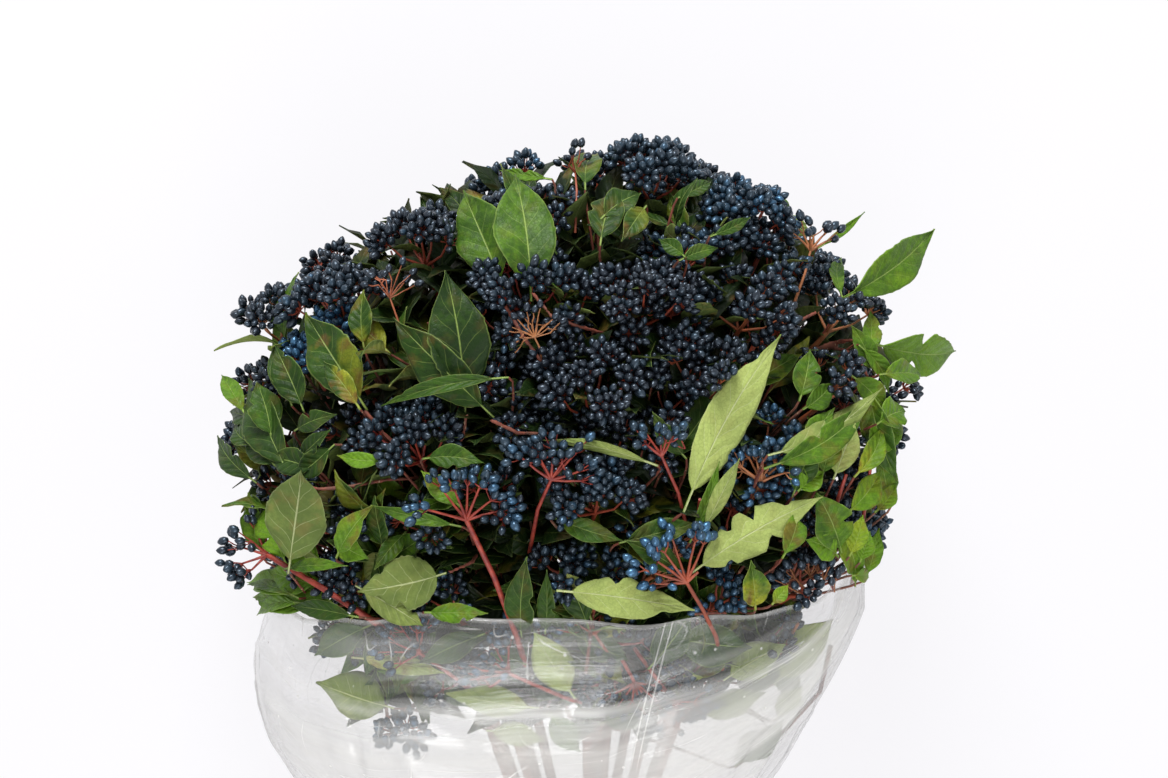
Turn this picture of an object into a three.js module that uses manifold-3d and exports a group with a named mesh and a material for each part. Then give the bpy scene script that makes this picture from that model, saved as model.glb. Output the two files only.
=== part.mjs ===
// A florist's bunch of laurustinus (Viburnum tinus) berries, lying on its side on a flat surface.
// Twelve woody cut stems are held by a rubber band, fan out through a clear film sleeve and end in
// stalked berry clusters and leaves. Millimetres. +Y runs from the cut ends to the top of the bunch,
// +Z is up from the surface that the bunch lies on. Every piece is a closed solid of its own, and
// neighbours keep a small gap. Film, leaf blades and berry clusters are thickened or filled out.

import * as THREE from "three";
import { mergeVertices } from "three/addons/utils/BufferGeometryUtils.js";
import Module from "manifold-3d";

const wasm = await Module();
wasm.setup();

// Driving dimensions.

const gap = 0.4; // clearance between neighbouring pieces

// The head is an egg lying on its side, pressed flat where it rests.
const head = { x: -8, y: 112, z: 118, halfWidth: 216, halfHeight: 138, toTop: 178, toTie: 245 };

// The stems start as a round bundle and fan out from the rubber band.
const stem = { radius: 3.6, sides: 7, steps: 11, cutY: -300, stagger: 7, innerRing: 4.6, outerRing: 12.4 };
const twig = { radius: 1.7, sides: 5, steps: 5, leastReach: 26, widestFork: 55 };
const band = { y: -246, width: 7, thickness: 1.8, bore: stem.outerRing + stem.radius + gap };
const bundleZ = band.bore + band.thickness;

// Berry clusters are shallow domes on a stalk, and face away from the heart of the bunch.
const heart = new THREE.Vector3(head.x, -80, 55);
const cluster = { sides: 12, lobes: 6, lobeDepth: 0.07, stalkRadius: 1.7, stalk: 14, sunk: 0.42 };

const leaf = { thickness: 1.3, petiole: 0.15, petioleHalfWidth: 1.1, fold: 0.16, droop: 0.07 };

// The sleeve is a loose film cone, gathered at the stems, with a rim that is drawn up on one side.
const sleeve = {
  thickness: 1.2,
  around: 28,
  along: 8,
  x: head.x - 4,
  endY: -212,
  rimY: 4,
  rimRise: 88,
  rimSharpness: 8, // how steeply the rim climbs to its high side
  rimUnder: 24,
  endHalfWidth: 34,
  rimHalfWidth: 190,
  endHeight: 40,
  rimHeight: 236,
  flare: 0.8,
  lean: 24, // how far the half-open part hangs to the left
};

// What the bunch carries.

// Each cluster's place on the head seen from above (x, y) and the radius of its dome. Those with a
// stem are at the end of one; the rest are on side twigs. Those at the head's sides have a height z
// of their own, and those under it lie on the surface.
const clusters = [
  { x: -192, y: 183, r: 30 },
  { x: -150, y: 193, r: 33, stem: true },
  { x: -98, y: 230, r: 32, stem: true },
  { x: -60, y: 239, r: 27 },
  { x: 43, y: 272, r: 34, stem: true },
  { x: 99, y: 249, r: 34 },
  { x: -36, y: 203, r: 34 },
  { x: 34, y: 196, r: 37, stem: true },
  { x: 98, y: 192, r: 33, stem: true },
  { x: 152, y: 190, r: 30, stem: true },
  { x: 2, y: 142, r: 46, stem: true },
  { x: 76, y: 150, r: 33 },
  { x: 146, y: 146, r: 28 },
  { x: -102, y: 112, r: 37, stem: true },
  { x: 112, y: 110, r: 25 },
  { x: 6, y: 82, r: 34 },
  { x: -56, y: 78, r: 25 },
  { x: 42, y: 40, r: 30 },
  { x: -186, y: 56, r: 28 },
  { x: 140, y: 24, r: 25 },
  { x: 170, y: 122, z: 104, r: 31 },
  { x: 140, y: 208, z: 96, r: 33 },
  { x: 58, y: 262, z: 90, r: 36 },
  { x: -70, y: 238, z: 96, r: 35 },
  { x: -160, y: 200, z: 92, r: 33 },
  { x: -196, y: 116, z: 100, r: 33 },
  { x: -112, y: 172, r: 42, under: true, stem: true },
  { x: -16, y: 218, r: 40, under: true },
  { x: 84, y: 184, r: 44, under: true, stem: true },
  { x: -28, y: 104, r: 40, under: true },
  { x: 126, y: 96, r: 36, under: true, stem: true },
  { x: -138, y: 84, r: 34, under: true, stem: true },
];

// Each leaf's blade from its base to its tip seen from above, its width, and how far the two ends
// stand above the head's dome. Roll turns the blade about its midrib. Turned ones show the pale side.
const leaves = [
  { base: [-52, 202], tip: [-78, 264], width: 34, rise: [4, 22], roll: -20 },
  { base: [-33, 210], tip: [-42, 274], width: 40, rise: [12, 40], roll: 8 },
  { base: [-72, 140], tip: [-82, 212], width: 38, rise: [4, 28], roll: 10 },
  { base: [-66, 132], tip: [-119, 180], width: 32, rise: [8, 22], roll: -18 },
  { base: [-138, 138], tip: [-172, 188], width: 32, rise: [4, 24], roll: -14 },
  { base: [-182, 98], tip: [-212, 150], width: 30, rise: [6, 8], roll: -24 },
  { base: [-90, 30], tip: [-136, 20], width: 35, rise: [4, 10], roll: 8 },
  { base: [153, 196], tip: [223, 241], width: 26, rise: [8, -4], roll: 20 },
  { base: [182, 169], tip: [238, 162], width: 29, rise: [14, -16], roll: 18 },
  { base: [174, 138], tip: [188, 84], width: 20, rise: [12, 20], roll: 24 },
  { base: [-177, 40], tip: [-168, 94], width: 38, rise: [20, 34], roll: -12, turned: true },
  { base: [67, 84], tip: [118, 172], width: 30, rise: [12, 28], roll: 10, turned: true },
  { base: [73, 38], tip: [142, 77], width: 29, rise: [12, 22], roll: 6, turned: true },
  { base: [52, 10], tip: [-16, 22], width: 24, rise: [12, 18], roll: 10, turned: true },
];

// Small tools.

const up = new THREE.Vector3(0, 0, 1);

function toSolid(geometry) {
  const plain = geometry.clone();
  plain.deleteAttribute("normal");
  plain.deleteAttribute("uv");
  const merged = mergeVertices(plain, 1e-3);
  return new wasm.Manifold(
    new wasm.Mesh({
      numProp: 3,
      vertProperties: new Float32Array(merged.attributes.position.array),
      triVerts: new Uint32Array(merged.index.array),
    }),
  );
}

function toGeometry(solid) {
  const mesh = solid.getMesh();
  const places = new Float32Array(mesh.numVert * 3);
  for (let i = 0; i < mesh.numVert; i++) {
    places.set(mesh.vertProperties.subarray(i * mesh.numProp, i * mesh.numProp + 3), i * 3);
  }
  const geometry = new THREE.BufferGeometry();
  geometry.setAttribute("position", new THREE.BufferAttribute(places, 3));
  geometry.setIndex(new THREE.BufferAttribute(new Uint32Array(mesh.triVerts), 1));
  geometry.computeVertexNormals();
  return geometry;
}

function polygon(radius, sides) {
  const shape = new THREE.Shape();
  for (let i = 0; i < sides; i++) {
    const a = (2 * Math.PI * i) / sides;
    const [x, y] = [radius * Math.cos(a), radius * Math.sin(a)];
    if (i === 0) shape.moveTo(x, y);
    else shape.lineTo(x, y);
  }
  return shape;
}

function tube(path, radius, sides, steps) {
  const options = { steps, extrudePath: path, bevelEnabled: false };
  return toSolid(new THREE.ExtrudeGeometry(polygon(radius, sides), options));
}

function moveEach(geometry, place) {
  const at = geometry.attributes.position;
  const point = new THREE.Vector3();
  for (let i = 0; i < at.count; i++) {
    point.fromBufferAttribute(at, i);
    place(point);
    at.setXYZ(i, point.x, point.y, point.z);
  }
  return geometry;
}

// Cuts the neighbours, each grown by the gap, from a solid, and keeps the largest body that is left.
function carve(solid, neighbours) {
  const left = neighbours.reduce((rest, other) => rest.subtract(other), solid);
  const bodies = left.decompose();
  return bodies.reduce((best, body) => (body.volume() > best.volume() ? body : best));
}

function domeHeight(x, y) {
  const across = (x - head.x) / head.halfWidth;
  const along = (y - head.y) / (y > head.y ? head.toTop : head.toTie);
  return head.halfHeight * Math.sqrt(Math.max(0.02, 1 - across * across - along * along));
}

// Berry clusters.

function clusterCentre({ x, y, z, r, under }) {
  const height = domeHeight(x, y);
  const onHead = under ? Math.max(0.62 * r, head.z - height) : head.z + height - cluster.sunk * r;
  return new THREE.Vector3(x, y, z ?? onHead);
}

function clusterAxis(spec) {
  return clusterCentre(spec).sub(heart).normalize();
}

// The point where a twig or stem takes over from the cluster's own stalk.
function clusterFoot(spec) {
  const reach = 0.62 * spec.r + cluster.stalk;
  return clusterCentre(spec).addScaledVector(clusterAxis(spec), -reach);
}

// A dome of berries over a cone of rays, on a short stalk, cut back from its neighbours' halves.
function clusterSolid(spec, grow = 0) {
  const r = spec.r + grow;
  const foot = 0.62 * spec.r + cluster.stalk + grow;
  const stalkRadius = cluster.stalkRadius + grow;
  const outline = [
    [0, -foot],
    [stalkRadius, -foot],
    [stalkRadius * 1.3, -0.62 * r],
    [0.55 * r, -0.2 * r],
    [0.98 * r, 0.02 * r],
    [0.88 * r, 0.24 * r],
    [0.48 * r, 0.42 * r],
    [0, 0.47 * r],
  ].map(([x, y]) => new THREE.Vector2(x, y));
  const geometry = moveEach(new THREE.LatheGeometry(outline, cluster.sides), (p) => {
    const far = Math.min(1, Math.hypot(p.x, p.z) / r);
    const lobe = 1 + cluster.lobeDepth * far * Math.cos(cluster.lobes * Math.atan2(p.z, p.x));
    p.set(p.x * lobe, p.y, p.z * lobe);
  });
  const turn = new THREE.Quaternion().setFromUnitVectors(new THREE.Vector3(0, 1, 0), clusterAxis(spec));
  geometry.applyQuaternion(turn);
  geometry.translate(...clusterCentre(spec).toArray());
  let solid = toSolid(geometry).trimByPlane([0, 0, 1], grow ? -grow : 0);
  for (const other of clusters) {
    const apart = clusterCentre(spec).sub(clusterCentre(other));
    const near = spec.r + other.r;
    if (other === spec || apart.length() > 1.1 * near) continue;
    const share = apart.length() * (other.r / near);
    const normal = apart.clone().normalize();
    const edge = clusterCentre(other).addScaledVector(normal, share);
    solid = solid.trimByPlane(normal.toArray(), normal.dot(edge) + gap / 2 - grow);
  }
  return solid;
}

// Leaves.

function leafEnds({ base, tip, rise }) {
  const at = ([x, y], lift) => new THREE.Vector3(x, y, Math.max(6, head.z + domeHeight(x, y) + lift));
  return { from: at(base, rise[0]), to: at(tip, rise[1]) };
}

// Half the blade's width at a share t of the length from the petiole's foot to the tip.
function leafHalfWidth(t, width) {
  if (t <= leaf.petiole) return leaf.petioleHalfWidth;
  const along = (t - leaf.petiole) / (1 - leaf.petiole);
  const blade = 0.5 * width * Math.sin(Math.PI * along ** 0.82) ** 0.85;
  return Math.max(blade, along > 0.9 ? 0.5 : leaf.petioleHalfWidth);
}

// The leaf's frame: +Y along the midrib and +Z out of the face that looks away from the bunch.
function leafFrame(spec) {
  const { from, to } = leafEnds(spec);
  const along = to.clone().sub(from);
  const length = along.length() / (1 - leaf.petiole);
  along.normalize();
  const out = up.clone().addScaledVector(along, -up.dot(along)).normalize();
  out.applyAxisAngle(along, THREE.MathUtils.degToRad(spec.roll));
  const across = along.clone().cross(out);
  const foot = to.clone().addScaledVector(along, -length);
  const matrix = new THREE.Matrix4().makeBasis(across, along, out).setPosition(foot);
  return { matrix, foot, along, length };
}

function leafSolid(spec, grow = 0) {
  const { matrix, length } = leafFrame(spec);
  const blank = new THREE.BoxGeometry(1, 1, 1, 4, 8, 1);
  const geometry = moveEach(blank, (p) => {
    const t = p.y + 0.5;
    const half = leafHalfWidth(t, spec.width) + grow;
    const blade = Math.max(0, t - leaf.petiole);
    const x = 2 * p.x * half;
    const sag = leaf.droop * length * blade * blade * 1.4;
    const lift = leaf.fold * Math.abs(x) * (t > leaf.petiole ? 1 : 0);
    p.set(x, t * (length + 2 * grow) - grow, lift - sag + p.z * (leaf.thickness + 2 * grow));
  });
  return toSolid(geometry.applyMatrix4(matrix));
}

// Stems and twigs.

function bundleSlot(i) {
  const inner = i < 3;
  const ring = inner ? stem.innerRing : stem.outerRing;
  const a = inner ? (2 * Math.PI * (i + 0.25)) / 3 : (2 * Math.PI * (i - 3)) / 9;
  return new THREE.Vector3(ring * Math.cos(a), 0, bundleZ + ring * Math.sin(a));
}

// Stems take the bundle's slots in the order of their ends round the head, so that none cross.
function slotOrder() {
  const ends = clusters.filter((c) => c.stem);
  const round = (c) => {
    const centre = clusterCentre(c);
    return Math.atan2(centre.z - head.z, centre.x - head.x);
  };
  const middle = [...ends].sort((a, b) => a.y + a.r - b.y - b.r).reverse().slice(0, 3);
  const outer = ends.filter((c) => !middle.includes(c));
  const sorted = (list) => list.sort((a, b) => round(a) - round(b));
  return [...sorted(middle), ...startNearSlot(sorted(outer), round)];
}

// Turns a sorted ring of ends so that each one is as near as it can be to its slot's direction.
function startNearSlot(ring, round) {
  const miss = (shift) =>
    ring.reduce((sum, _, k) => {
      const slot = (2 * Math.PI * k) / ring.length;
      return sum - Math.cos(round(ring[(k + shift) % ring.length]) - slot);
    }, 0);
  const shifts = ring.map((_, k) => k).sort((a, b) => miss(a) - miss(b));
  return ring.map((_, k) => ring[(k + shifts[0]) % ring.length]);
}

function stemPath(spec, i) {
  const slot = bundleSlot(i);
  const foot = clusterFoot(spec);
  const axis = clusterAxis(spec);
  const cut = slot.clone().setY(stem.cutY + stem.stagger * (i % 3));
  const tied = slot.clone().setY(band.y);
  const low = slot.clone().setY(band.y + 36);
  const spread = new THREE.Vector3().lerpVectors(low, foot, 0.45);
  spread.z -= 6;
  const under = foot.clone().addScaledVector(axis, -44);
  under.z = Math.max(under.z, stem.radius + 4);
  const end = foot.clone().addScaledVector(axis, -gap);
  return new THREE.CatmullRomCurve3([cut, tied, low, spread, under, end], false, "catmullrom", 0.5);
}

// The place on a stem from which a twig reaches a foot with the least length and bending.
function forkFor({ foot, direction }, paths) {
  let best = null;
  paths.forEach((path, index) => {
    for (let t = 0.3; t < 0.97; t += 0.01) {
      const from = path.getPoint(t);
      const reach = foot.clone().sub(from);
      const distance = reach.length();
      const leave = THREE.MathUtils.radToDeg(reach.angleTo(path.getTangent(t)));
      const arrive = THREE.MathUtils.radToDeg(reach.angleTo(direction));
      if (distance < twig.leastReach || leave > twig.widestFork) continue;
      const cost = distance * (1 + arrive / twig.widestFork);
      if (!best || cost < best.cost) best = { index, t, from, distance, cost };
    }
  });
  return best;
}

function twigSolid(fork, path, foot, direction, grow) {
  const leave = path.getTangent(fork.t);
  const end = foot.clone().addScaledVector(direction, -gap);
  const curve = new THREE.CubicBezierCurve3(
    fork.from,
    fork.from.clone().addScaledVector(leave, fork.distance * 0.4),
    end.clone().addScaledVector(direction, -fork.distance * 0.35),
    end,
  );
  return tube(curve, twig.radius + grow, twig.sides, twig.steps);
}

function stemSolids(ends, paths, loads, grow) {
  return ends.map((_, i) => {
    const main = tube(paths[i], stem.radius + grow, stem.sides, stem.steps);
    return loads
      .filter((load) => load.fork.index === i)
      .reduce((all, load) => all.add(twigSolid(load.fork, paths[i], load.foot, load.direction, grow)), main);
  });
}

// Rubber band and sleeve.

function bandSolid(grow = 0) {
  const [inner, outer] = [band.bore - grow, band.bore + band.thickness + grow];
  const half = band.width / 2 + grow;
  const section = [
    [inner, -half],
    [outer, -half],
    [outer, half],
    [inner, half],
    [inner, -half],
  ].map(([x, y]) => new THREE.Vector2(x, y));
  const ring = new THREE.LatheGeometry(section, 24);
  ring.rotateY(Math.PI / 24);
  ring.translate(0, band.y, bundleZ);
  return toSolid(ring);
}

// A point on the sleeve: turn is the angle round it, share runs from its gathered end to its rim.
function sleevePoint(turn, share, inset, grow) {
  const [side, rise] = [Math.cos(turn), Math.sin(turn)];
  const drawnUp = sleeve.rimRise * Math.max(0, side) ** sleeve.rimSharpness;
  const rim = sleeve.rimY + drawnUp + sleeve.rimUnder * Math.max(0, -rise);
  const y = THREE.MathUtils.lerp(sleeve.endY - grow, rim + grow, share);
  const open = THREE.MathUtils.clamp((y - sleeve.endY) / (sleeve.rimY - sleeve.endY), 0, 1);
  const flare = Math.sin((Math.PI / 2) * open) ** sleeve.flare;
  const halfWidth = THREE.MathUtils.lerp(sleeve.endHalfWidth, sleeve.rimHalfWidth, flare) - inset;
  const height = THREE.MathUtils.lerp(sleeve.endHeight, sleeve.rimHeight, flare);
  const centre = sleeve.x * flare - sleeve.lean * Math.sin(Math.PI * open);
  const x = centre + halfWidth * Math.sign(side) * Math.abs(side) ** 0.8;
  const middle = 0.42 * height;
  const z = rise > 0 ? middle + (height - middle - inset) * rise ** 0.9 : middle + 1.35 * middle * rise;
  return new THREE.Vector3(x, y, Math.max(z, inset));
}

function sleeveSolid(grow = 0) {
  const wall = sleeve.thickness;
  const shares = [...Array(sleeve.along + 1).keys()].map((k) => k / sleeve.along);
  const outside = shares.map((share) => [share, -grow]);
  const inside = [...shares].reverse().map((share) => [share, wall + grow]);
  const loop = [...outside, ...inside, outside[0]];
  const profile = loop.map(([share, inset]) => new THREE.Vector2(1000 + inset, share));
  const film = new THREE.LatheGeometry(profile, sleeve.around);
  moveEach(film, (p) => {
    const turn = Math.atan2(p.z, p.x);
    const inset = Math.hypot(p.x, p.z) - 1000;
    p.copy(sleevePoint(turn, p.y, Math.round(inset * 100) / 100, grow));
  });
  return toSolid(film);
}

// The whole bunch.

const finish = {
  bark: { color: 0x8a4a3a, roughness: 0.75, metalness: 0 },
  berry: { color: 0x1d2a3f, roughness: 0.4, metalness: 0.2 },
  leaf: { color: 0x4f7a2c, roughness: 0.5, metalness: 0 },
  paleLeaf: { color: 0x9aac6a, roughness: 0.65, metalness: 0 },
  film: { color: 0xe8eef0, roughness: 0.15, metalness: 0, transparent: true, opacity: 0.3 },
  rubber: { color: 0xb98a4a, roughness: 0.7, metalness: 0 },
};

const bunch = new THREE.Group();

function addPiece(name, solid, look) {
  const mesh = new THREE.Mesh(toGeometry(solid), new THREE.MeshStandardMaterial(look));
  mesh.name = name;
  bunch.add(mesh);
}

const number = (i) => String(i + 1).padStart(2, "0");

const ends = slotOrder();
const paths = ends.map(stemPath);
const loads = [
  ...clusters.filter((c) => !c.stem).map((c) => ({ foot: clusterFoot(c), direction: clusterAxis(c) })),
  ...leaves.map(leafFrame).map(({ foot, along }) => ({ foot, direction: along })),
].map((load) => ({ ...load, fork: forkFor(load, paths) }));

const filmWall = sleeveSolid();
const grownWall = sleeveSolid(gap);
const stems = [];
const grownStems = stemSolids(ends, paths, loads, gap);
stemSolids(ends, paths, loads, 0).forEach((solid, i) => {
  stems.push(carve(solid, [grownWall, ...grownStems.slice(0, i)]));
});

addPiece("sleeve", filmWall, finish.film);
addPiece("rubber_band", bandSolid(), finish.rubber);
stems.forEach((solid, i) => addPiece(`stem_${number(i)}`, solid, finish.bark));

const grownClusters = clusters.map((spec) => clusterSolid(spec, gap));
clusters.forEach((spec, i) => {
  const solid = carve(clusterSolid(spec), [grownWall, ...grownStems]);
  addPiece(`berry_cluster_${number(i)}`, solid, finish.berry);
});

const grownLeaves = leaves.map((spec) => leafSolid(spec, gap));
leaves.forEach((spec, i) => {
  const others = [grownWall, ...grownStems, ...grownClusters, ...grownLeaves.slice(0, i)];
  const name = `${spec.turned ? "turned_leaf" : "leaf"}_${number(i)}`;
  addPiece(name, carve(leafSolid(spec), others), spec.turned ? finish.paleLeaf : finish.leaf);
});

// The origin is under the middle of the bunch, on the surface that it lies on.
const box = new THREE.Box3().setFromObject(bunch);
const middle = box.getCenter(new THREE.Vector3());
bunch.position.set(-middle.x, -middle.y, -box.min.z);

export default bunch;
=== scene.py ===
# A lying bunch of laurustinus: stems, berry clusters and leaves in a clear film sleeve.
# Lengths are millimetres in the bunch's own frame unless a note says metres: the tie is at y = -246,
# the head of berries is at +y, and z is up from the surface. meshFrom() turns them into metres.
import math
from functools import partial

import bpy
import numpy as np
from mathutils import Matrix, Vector
from mathutils.bvhtree import BVHTree
from mathutils.kdtree import KDTree


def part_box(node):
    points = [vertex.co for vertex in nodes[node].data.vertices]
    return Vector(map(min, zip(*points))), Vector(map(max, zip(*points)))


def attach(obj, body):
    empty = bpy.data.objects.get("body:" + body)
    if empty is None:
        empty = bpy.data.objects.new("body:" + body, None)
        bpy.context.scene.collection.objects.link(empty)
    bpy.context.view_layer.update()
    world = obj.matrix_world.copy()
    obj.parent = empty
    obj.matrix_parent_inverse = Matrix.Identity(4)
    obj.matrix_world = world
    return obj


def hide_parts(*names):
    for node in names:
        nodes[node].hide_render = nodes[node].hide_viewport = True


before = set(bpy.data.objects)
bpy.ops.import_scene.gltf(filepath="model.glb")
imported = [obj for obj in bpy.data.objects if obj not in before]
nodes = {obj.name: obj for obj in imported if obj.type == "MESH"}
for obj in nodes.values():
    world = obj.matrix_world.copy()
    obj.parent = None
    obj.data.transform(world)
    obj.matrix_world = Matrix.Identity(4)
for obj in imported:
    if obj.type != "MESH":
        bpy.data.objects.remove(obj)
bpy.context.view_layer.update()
rng = np.random.default_rng(12)
golden = math.pi * (3 - math.sqrt(5))

tieLow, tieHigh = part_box("rubber_band")
origin = np.array([(tieLow.x + tieHigh.x) / 2, (tieLow.y + tieHigh.y) / 2 + 0.246, 0])

head = {  # the egg that the head fills, pressed flat below, and the point its stems spread from
    "x": -8, "y": 112, "z": 118, "halfWidth": 216, "halfHeight": 138, "toTop": 178, "toTie": 245,
    "heart": np.array([-8.0, -80.0, 55.0]), "highest": 284.0,
}
sleeve = {  # the rule that the CAD sleeve follows too, and how finely the film is divided
    "x": -12, "endY": -212, "rimY": 4, "rimRise": 88, "rimUnder": 24, "rimSharpness": 8, "flare": 0.8,
    "endHalfWidth": 34, "rimHalfWidth": 190, "endHeight": 40, "rimHeight": 236, "lean": 24, "waist": 0.42,
    "around": 240, "along": 90,
}


def nodePoints(name):  # the points of a CAD node
    data = nodes[name].data
    points = np.zeros(len(data.vertices) * 3, np.float32)
    data.vertices.foreach_get("co", points)
    return (points.reshape(-1, 3).astype(float) - origin) * 1000


def unit(v):
    return v / np.maximum(np.linalg.norm(v, axis=-1, keepdims=True), 1e-9)


def sideways(axis):  # two directions square to an axis, the first one level where it can be
    helper = np.array([0.0, 0.0, 1.0]) if abs(axis[2]) < 0.9 else np.array([1.0, 0.0, 0.0])
    first = unit(np.cross(axis, helper))
    return first, np.cross(axis, first)


def onHead(x, y, rise=0):  # a place on the head's upper side, or some way above it
    across = (x - head["x"]) / head["halfWidth"]
    along = (y - head["y"]) / (head["toTop"] if y > head["y"] else head["toTie"])
    dome = head["halfHeight"] * math.sqrt(max(0.02, 1 - across ** 2 - along ** 2))
    return np.array([x, y, head["z"] + dome + rise])


def sleeveSection(y):  # the middle, half width and height of the sleeve where it is cut across
    opened = min(1, max(0, (y - sleeve["endY"]) / (sleeve["rimY"] - sleeve["endY"])))
    flare = math.sin(math.pi / 2 * opened) ** sleeve["flare"]
    middle = sleeve["x"] * flare - sleeve["lean"] * math.sin(math.pi * opened)
    halfWidth = sleeve["endHalfWidth"] + (sleeve["rimHalfWidth"] - sleeve["endHalfWidth"]) * flare
    height = sleeve["endHeight"] + (sleeve["rimHeight"] - sleeve["endHeight"]) * flare
    return middle, halfWidth, height


def filmHeight(x, y):  # how high the sleeve stands over a place, 0 where it doesn't reach
    middle, halfWidth, height = sleeveSection(y)
    side = abs(x - middle) / halfWidth
    if side >= 1:
        return 0.0
    waist = sleeve["waist"] * height
    return waist + (height - waist) * math.sqrt(1 - side ** 2.5) ** 0.9


def underFilm(x, y, depth):  # a place some way under the film
    return np.array([x, y, max(6.0, filmHeight(x, y) - depth)])


def meshFrom(name, points, faces=(), lines=()):  # a smooth mesh from points in millimetres
    mesh = bpy.data.meshes.new(name)
    mesh.from_pydata((np.asarray(points) * 0.001 + origin).tolist(), list(lines), list(faces))
    mesh.polygons.foreach_set("use_smooth", [True] * len(mesh.polygons))
    return mesh


def addObject(name, data):
    piece = bpy.data.objects.new(name, data)
    bpy.context.scene.collection.objects.link(piece)
    return piece


def bakeObject(piece, name):  # the plain mesh that a piece's modifiers give, as a piece of its own
    source = piece.data
    grown = bpy.data.meshes.new_from_object(piece.evaluated_get(bpy.context.evaluated_depsgraph_get()))
    bpy.data.objects.remove(piece)
    bpy.data.meshes.remove(source)
    grown.name = name
    return addObject(name, grown)


def setAttribute(mesh, name, values, kind="FLOAT"):
    layer = mesh.attributes.new(name, kind, "POINT")
    layer.data.foreach_set("vector" if kind == "FLOAT_VECTOR" else "value", np.ravel(values))


def settle(piece, slot, *replaced):
    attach(piece, "root")
    if replaced:
        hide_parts(*replaced)


def linear(hexCode):  # an sRGB colour as the numbers that a node takes
    parts = [int(hexCode[i:i + 2], 16) / 255 for i in (1, 3, 5)]
    return [c / 12.92 if c <= 0.04045 else ((c + 0.055) / 1.055) ** 2.4 for c in parts] + [1]


def fillInputs(node, inputs):  # links sockets, turns hex colours to linear and sets the rest as it is
    for key, value in inputs.items():
        if isinstance(value, bpy.types.NodeSocket):
            node.id_data.links.new(value, node.inputs[key])
        elif isinstance(value, str) and value.startswith("#"):
            node.inputs[key].default_value = linear(value)
        else:
            node.inputs[key].default_value = value


# Adds a node, with its inputs in order or in one dictionary. A kind with no "Node" in it is a shader's.
def addNode(tree, kind, *inputs, output=0, **settings):
    node = tree.nodes.new(kind if "Node" in kind else "ShaderNode" + kind)
    for key, value in settings.items():
        setattr(node, key, value)
    fillInputs(node, inputs[0] if inputs and isinstance(inputs[0], dict) else dict(enumerate(inputs)))
    return node.outputs[output] if node.outputs else None


def newMaterial(name):  # a material, its shader and what adds nodes to its tree
    material = bpy.data.materials.new(name)
    material.use_nodes = True
    return material, material.node_tree.nodes["Principled BSDF"], partial(addNode, material.node_tree)


# Ripe drupe skin: blue-black, and its thin wax layer gives a steel-blue sheen.
def berrySkinMaterial():
    skin = {"ripe": "#1b1f26", "dusky": "#2d3d49", "bright": "#41698a", "tip": "#0b0908", "mottle": 2.5}
    material, shader, add = newMaterial("waxyBerrySkin")
    place = add("TexCoord", output="Object")
    mottle = add("TexNoise", {"Vector": place, "Scale": 1000 / skin["mottle"], "Detail": 3})
    bloom = add("Attribute", output="Fac", attribute_name="bloom")
    sheen = add("Math", bloom, add("MapRange", mottle, 0.3, 0.7, -0.12, 0.12), operation="ADD")
    colour = skin["ripe"]
    for share, over in (
        (add("MapRange", sheen, 0.05, 0.5), skin["dusky"]),
        (add("MapRange", sheen, 0.45, 1.0), skin["bright"]),
        (add("Attribute", output="Fac", attribute_name="calyx"), skin["tip"]),
    ):
        colour = add("Mix", {0: share, 6: colour, 7: over}, output=2, data_type="RGBA")
    fillInputs(shader, {
        "Base Color": colour, "Specular IOR Level": 0.75, "Specular Tint": "#cfe2f5",
        "Metallic": add("MapRange", sheen, 0.0, 1.0, 0.1, 0.6),
        "Roughness": add("MapRange", mottle, 0.3, 0.7, 0.2, 0.32),
        "Normal": add("Bump", {"Height": mottle, "Strength": 0.15, "Distance": 0.0004}),
    })
    return material


# Fresh green-wood stalks of the berry heads: coral red, turning salmon and orange.
def youngStalkMaterial():
    stalk = {"red": "#78241f", "coral": "#a6412f", "orange": "#a26a40", "blotch": 5}
    material, shader, add = newMaterial("youngFruitStalk")
    place = add("TexCoord", output="Object")
    blotch = add("TexNoise", {"Vector": place, "Scale": 1000 / stalk["blotch"], "Detail": 3})
    warmth = add("Attribute", output="Fac", attribute_name="warmth")
    colour = stalk["red"]
    for share, over in (
        (add("MapRange", blotch, 0.35, 0.65), stalk["coral"]),
        (add("MapRange", warmth, 0.3, 0.9), stalk["orange"]),
    ):
        colour = add("Mix", {0: share, 6: colour, 7: over}, output=2, data_type="RGBA")
    fillInputs(shader, {"Base Color": colour, "Roughness": 0.5})
    return material


# Thin young bark: matt red-brown, dotted with pale corky lenticels.
def barkMaterial():
    bark = {
        "light": "#8c4836", "dark": "#4c251c", "grey": "#7f6a58", "lenticel": "#b99d7c",
        "grain": 4, "weathering": 45,
    }
    material, shader, add = newMaterial("lenticelledBark")
    place = add("TexCoord", output="Object")
    stretched = add("Mapping", {"Vector": place, "Scale": (1, 0.25, 1)})
    grain = add("TexNoise", {"Vector": stretched, "Scale": 1000 / bark["grain"], "Detail": 5})
    wide = add("TexNoise", {"Vector": place, "Scale": 1000 / bark["weathering"], "Detail": 2})
    spot = add("MapRange", add("TexVoronoi", {"Vector": stretched, "Scale": 420}), 0.18, 0.1)
    height = add("Math", grain, spot, operation="ADD")
    colour = bark["dark"]
    for share, over in (
        (add("MapRange", grain, 0.3, 0.7), bark["light"]),
        (add("MapRange", wide, 0.5, 0.75, 0, 0.7), bark["grey"]),
        (spot, bark["lenticel"]),
    ):
        colour = add("Mix", {0: share, 6: colour, 7: over}, output=2, data_type="RGBA")
    fillInputs(shader, {
        "Base Color": colour, "Roughness": 0.72,
        "Normal": add("Bump", {"Height": height, "Strength": 0.5, "Distance": 0.0004}),
    })
    return material


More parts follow.
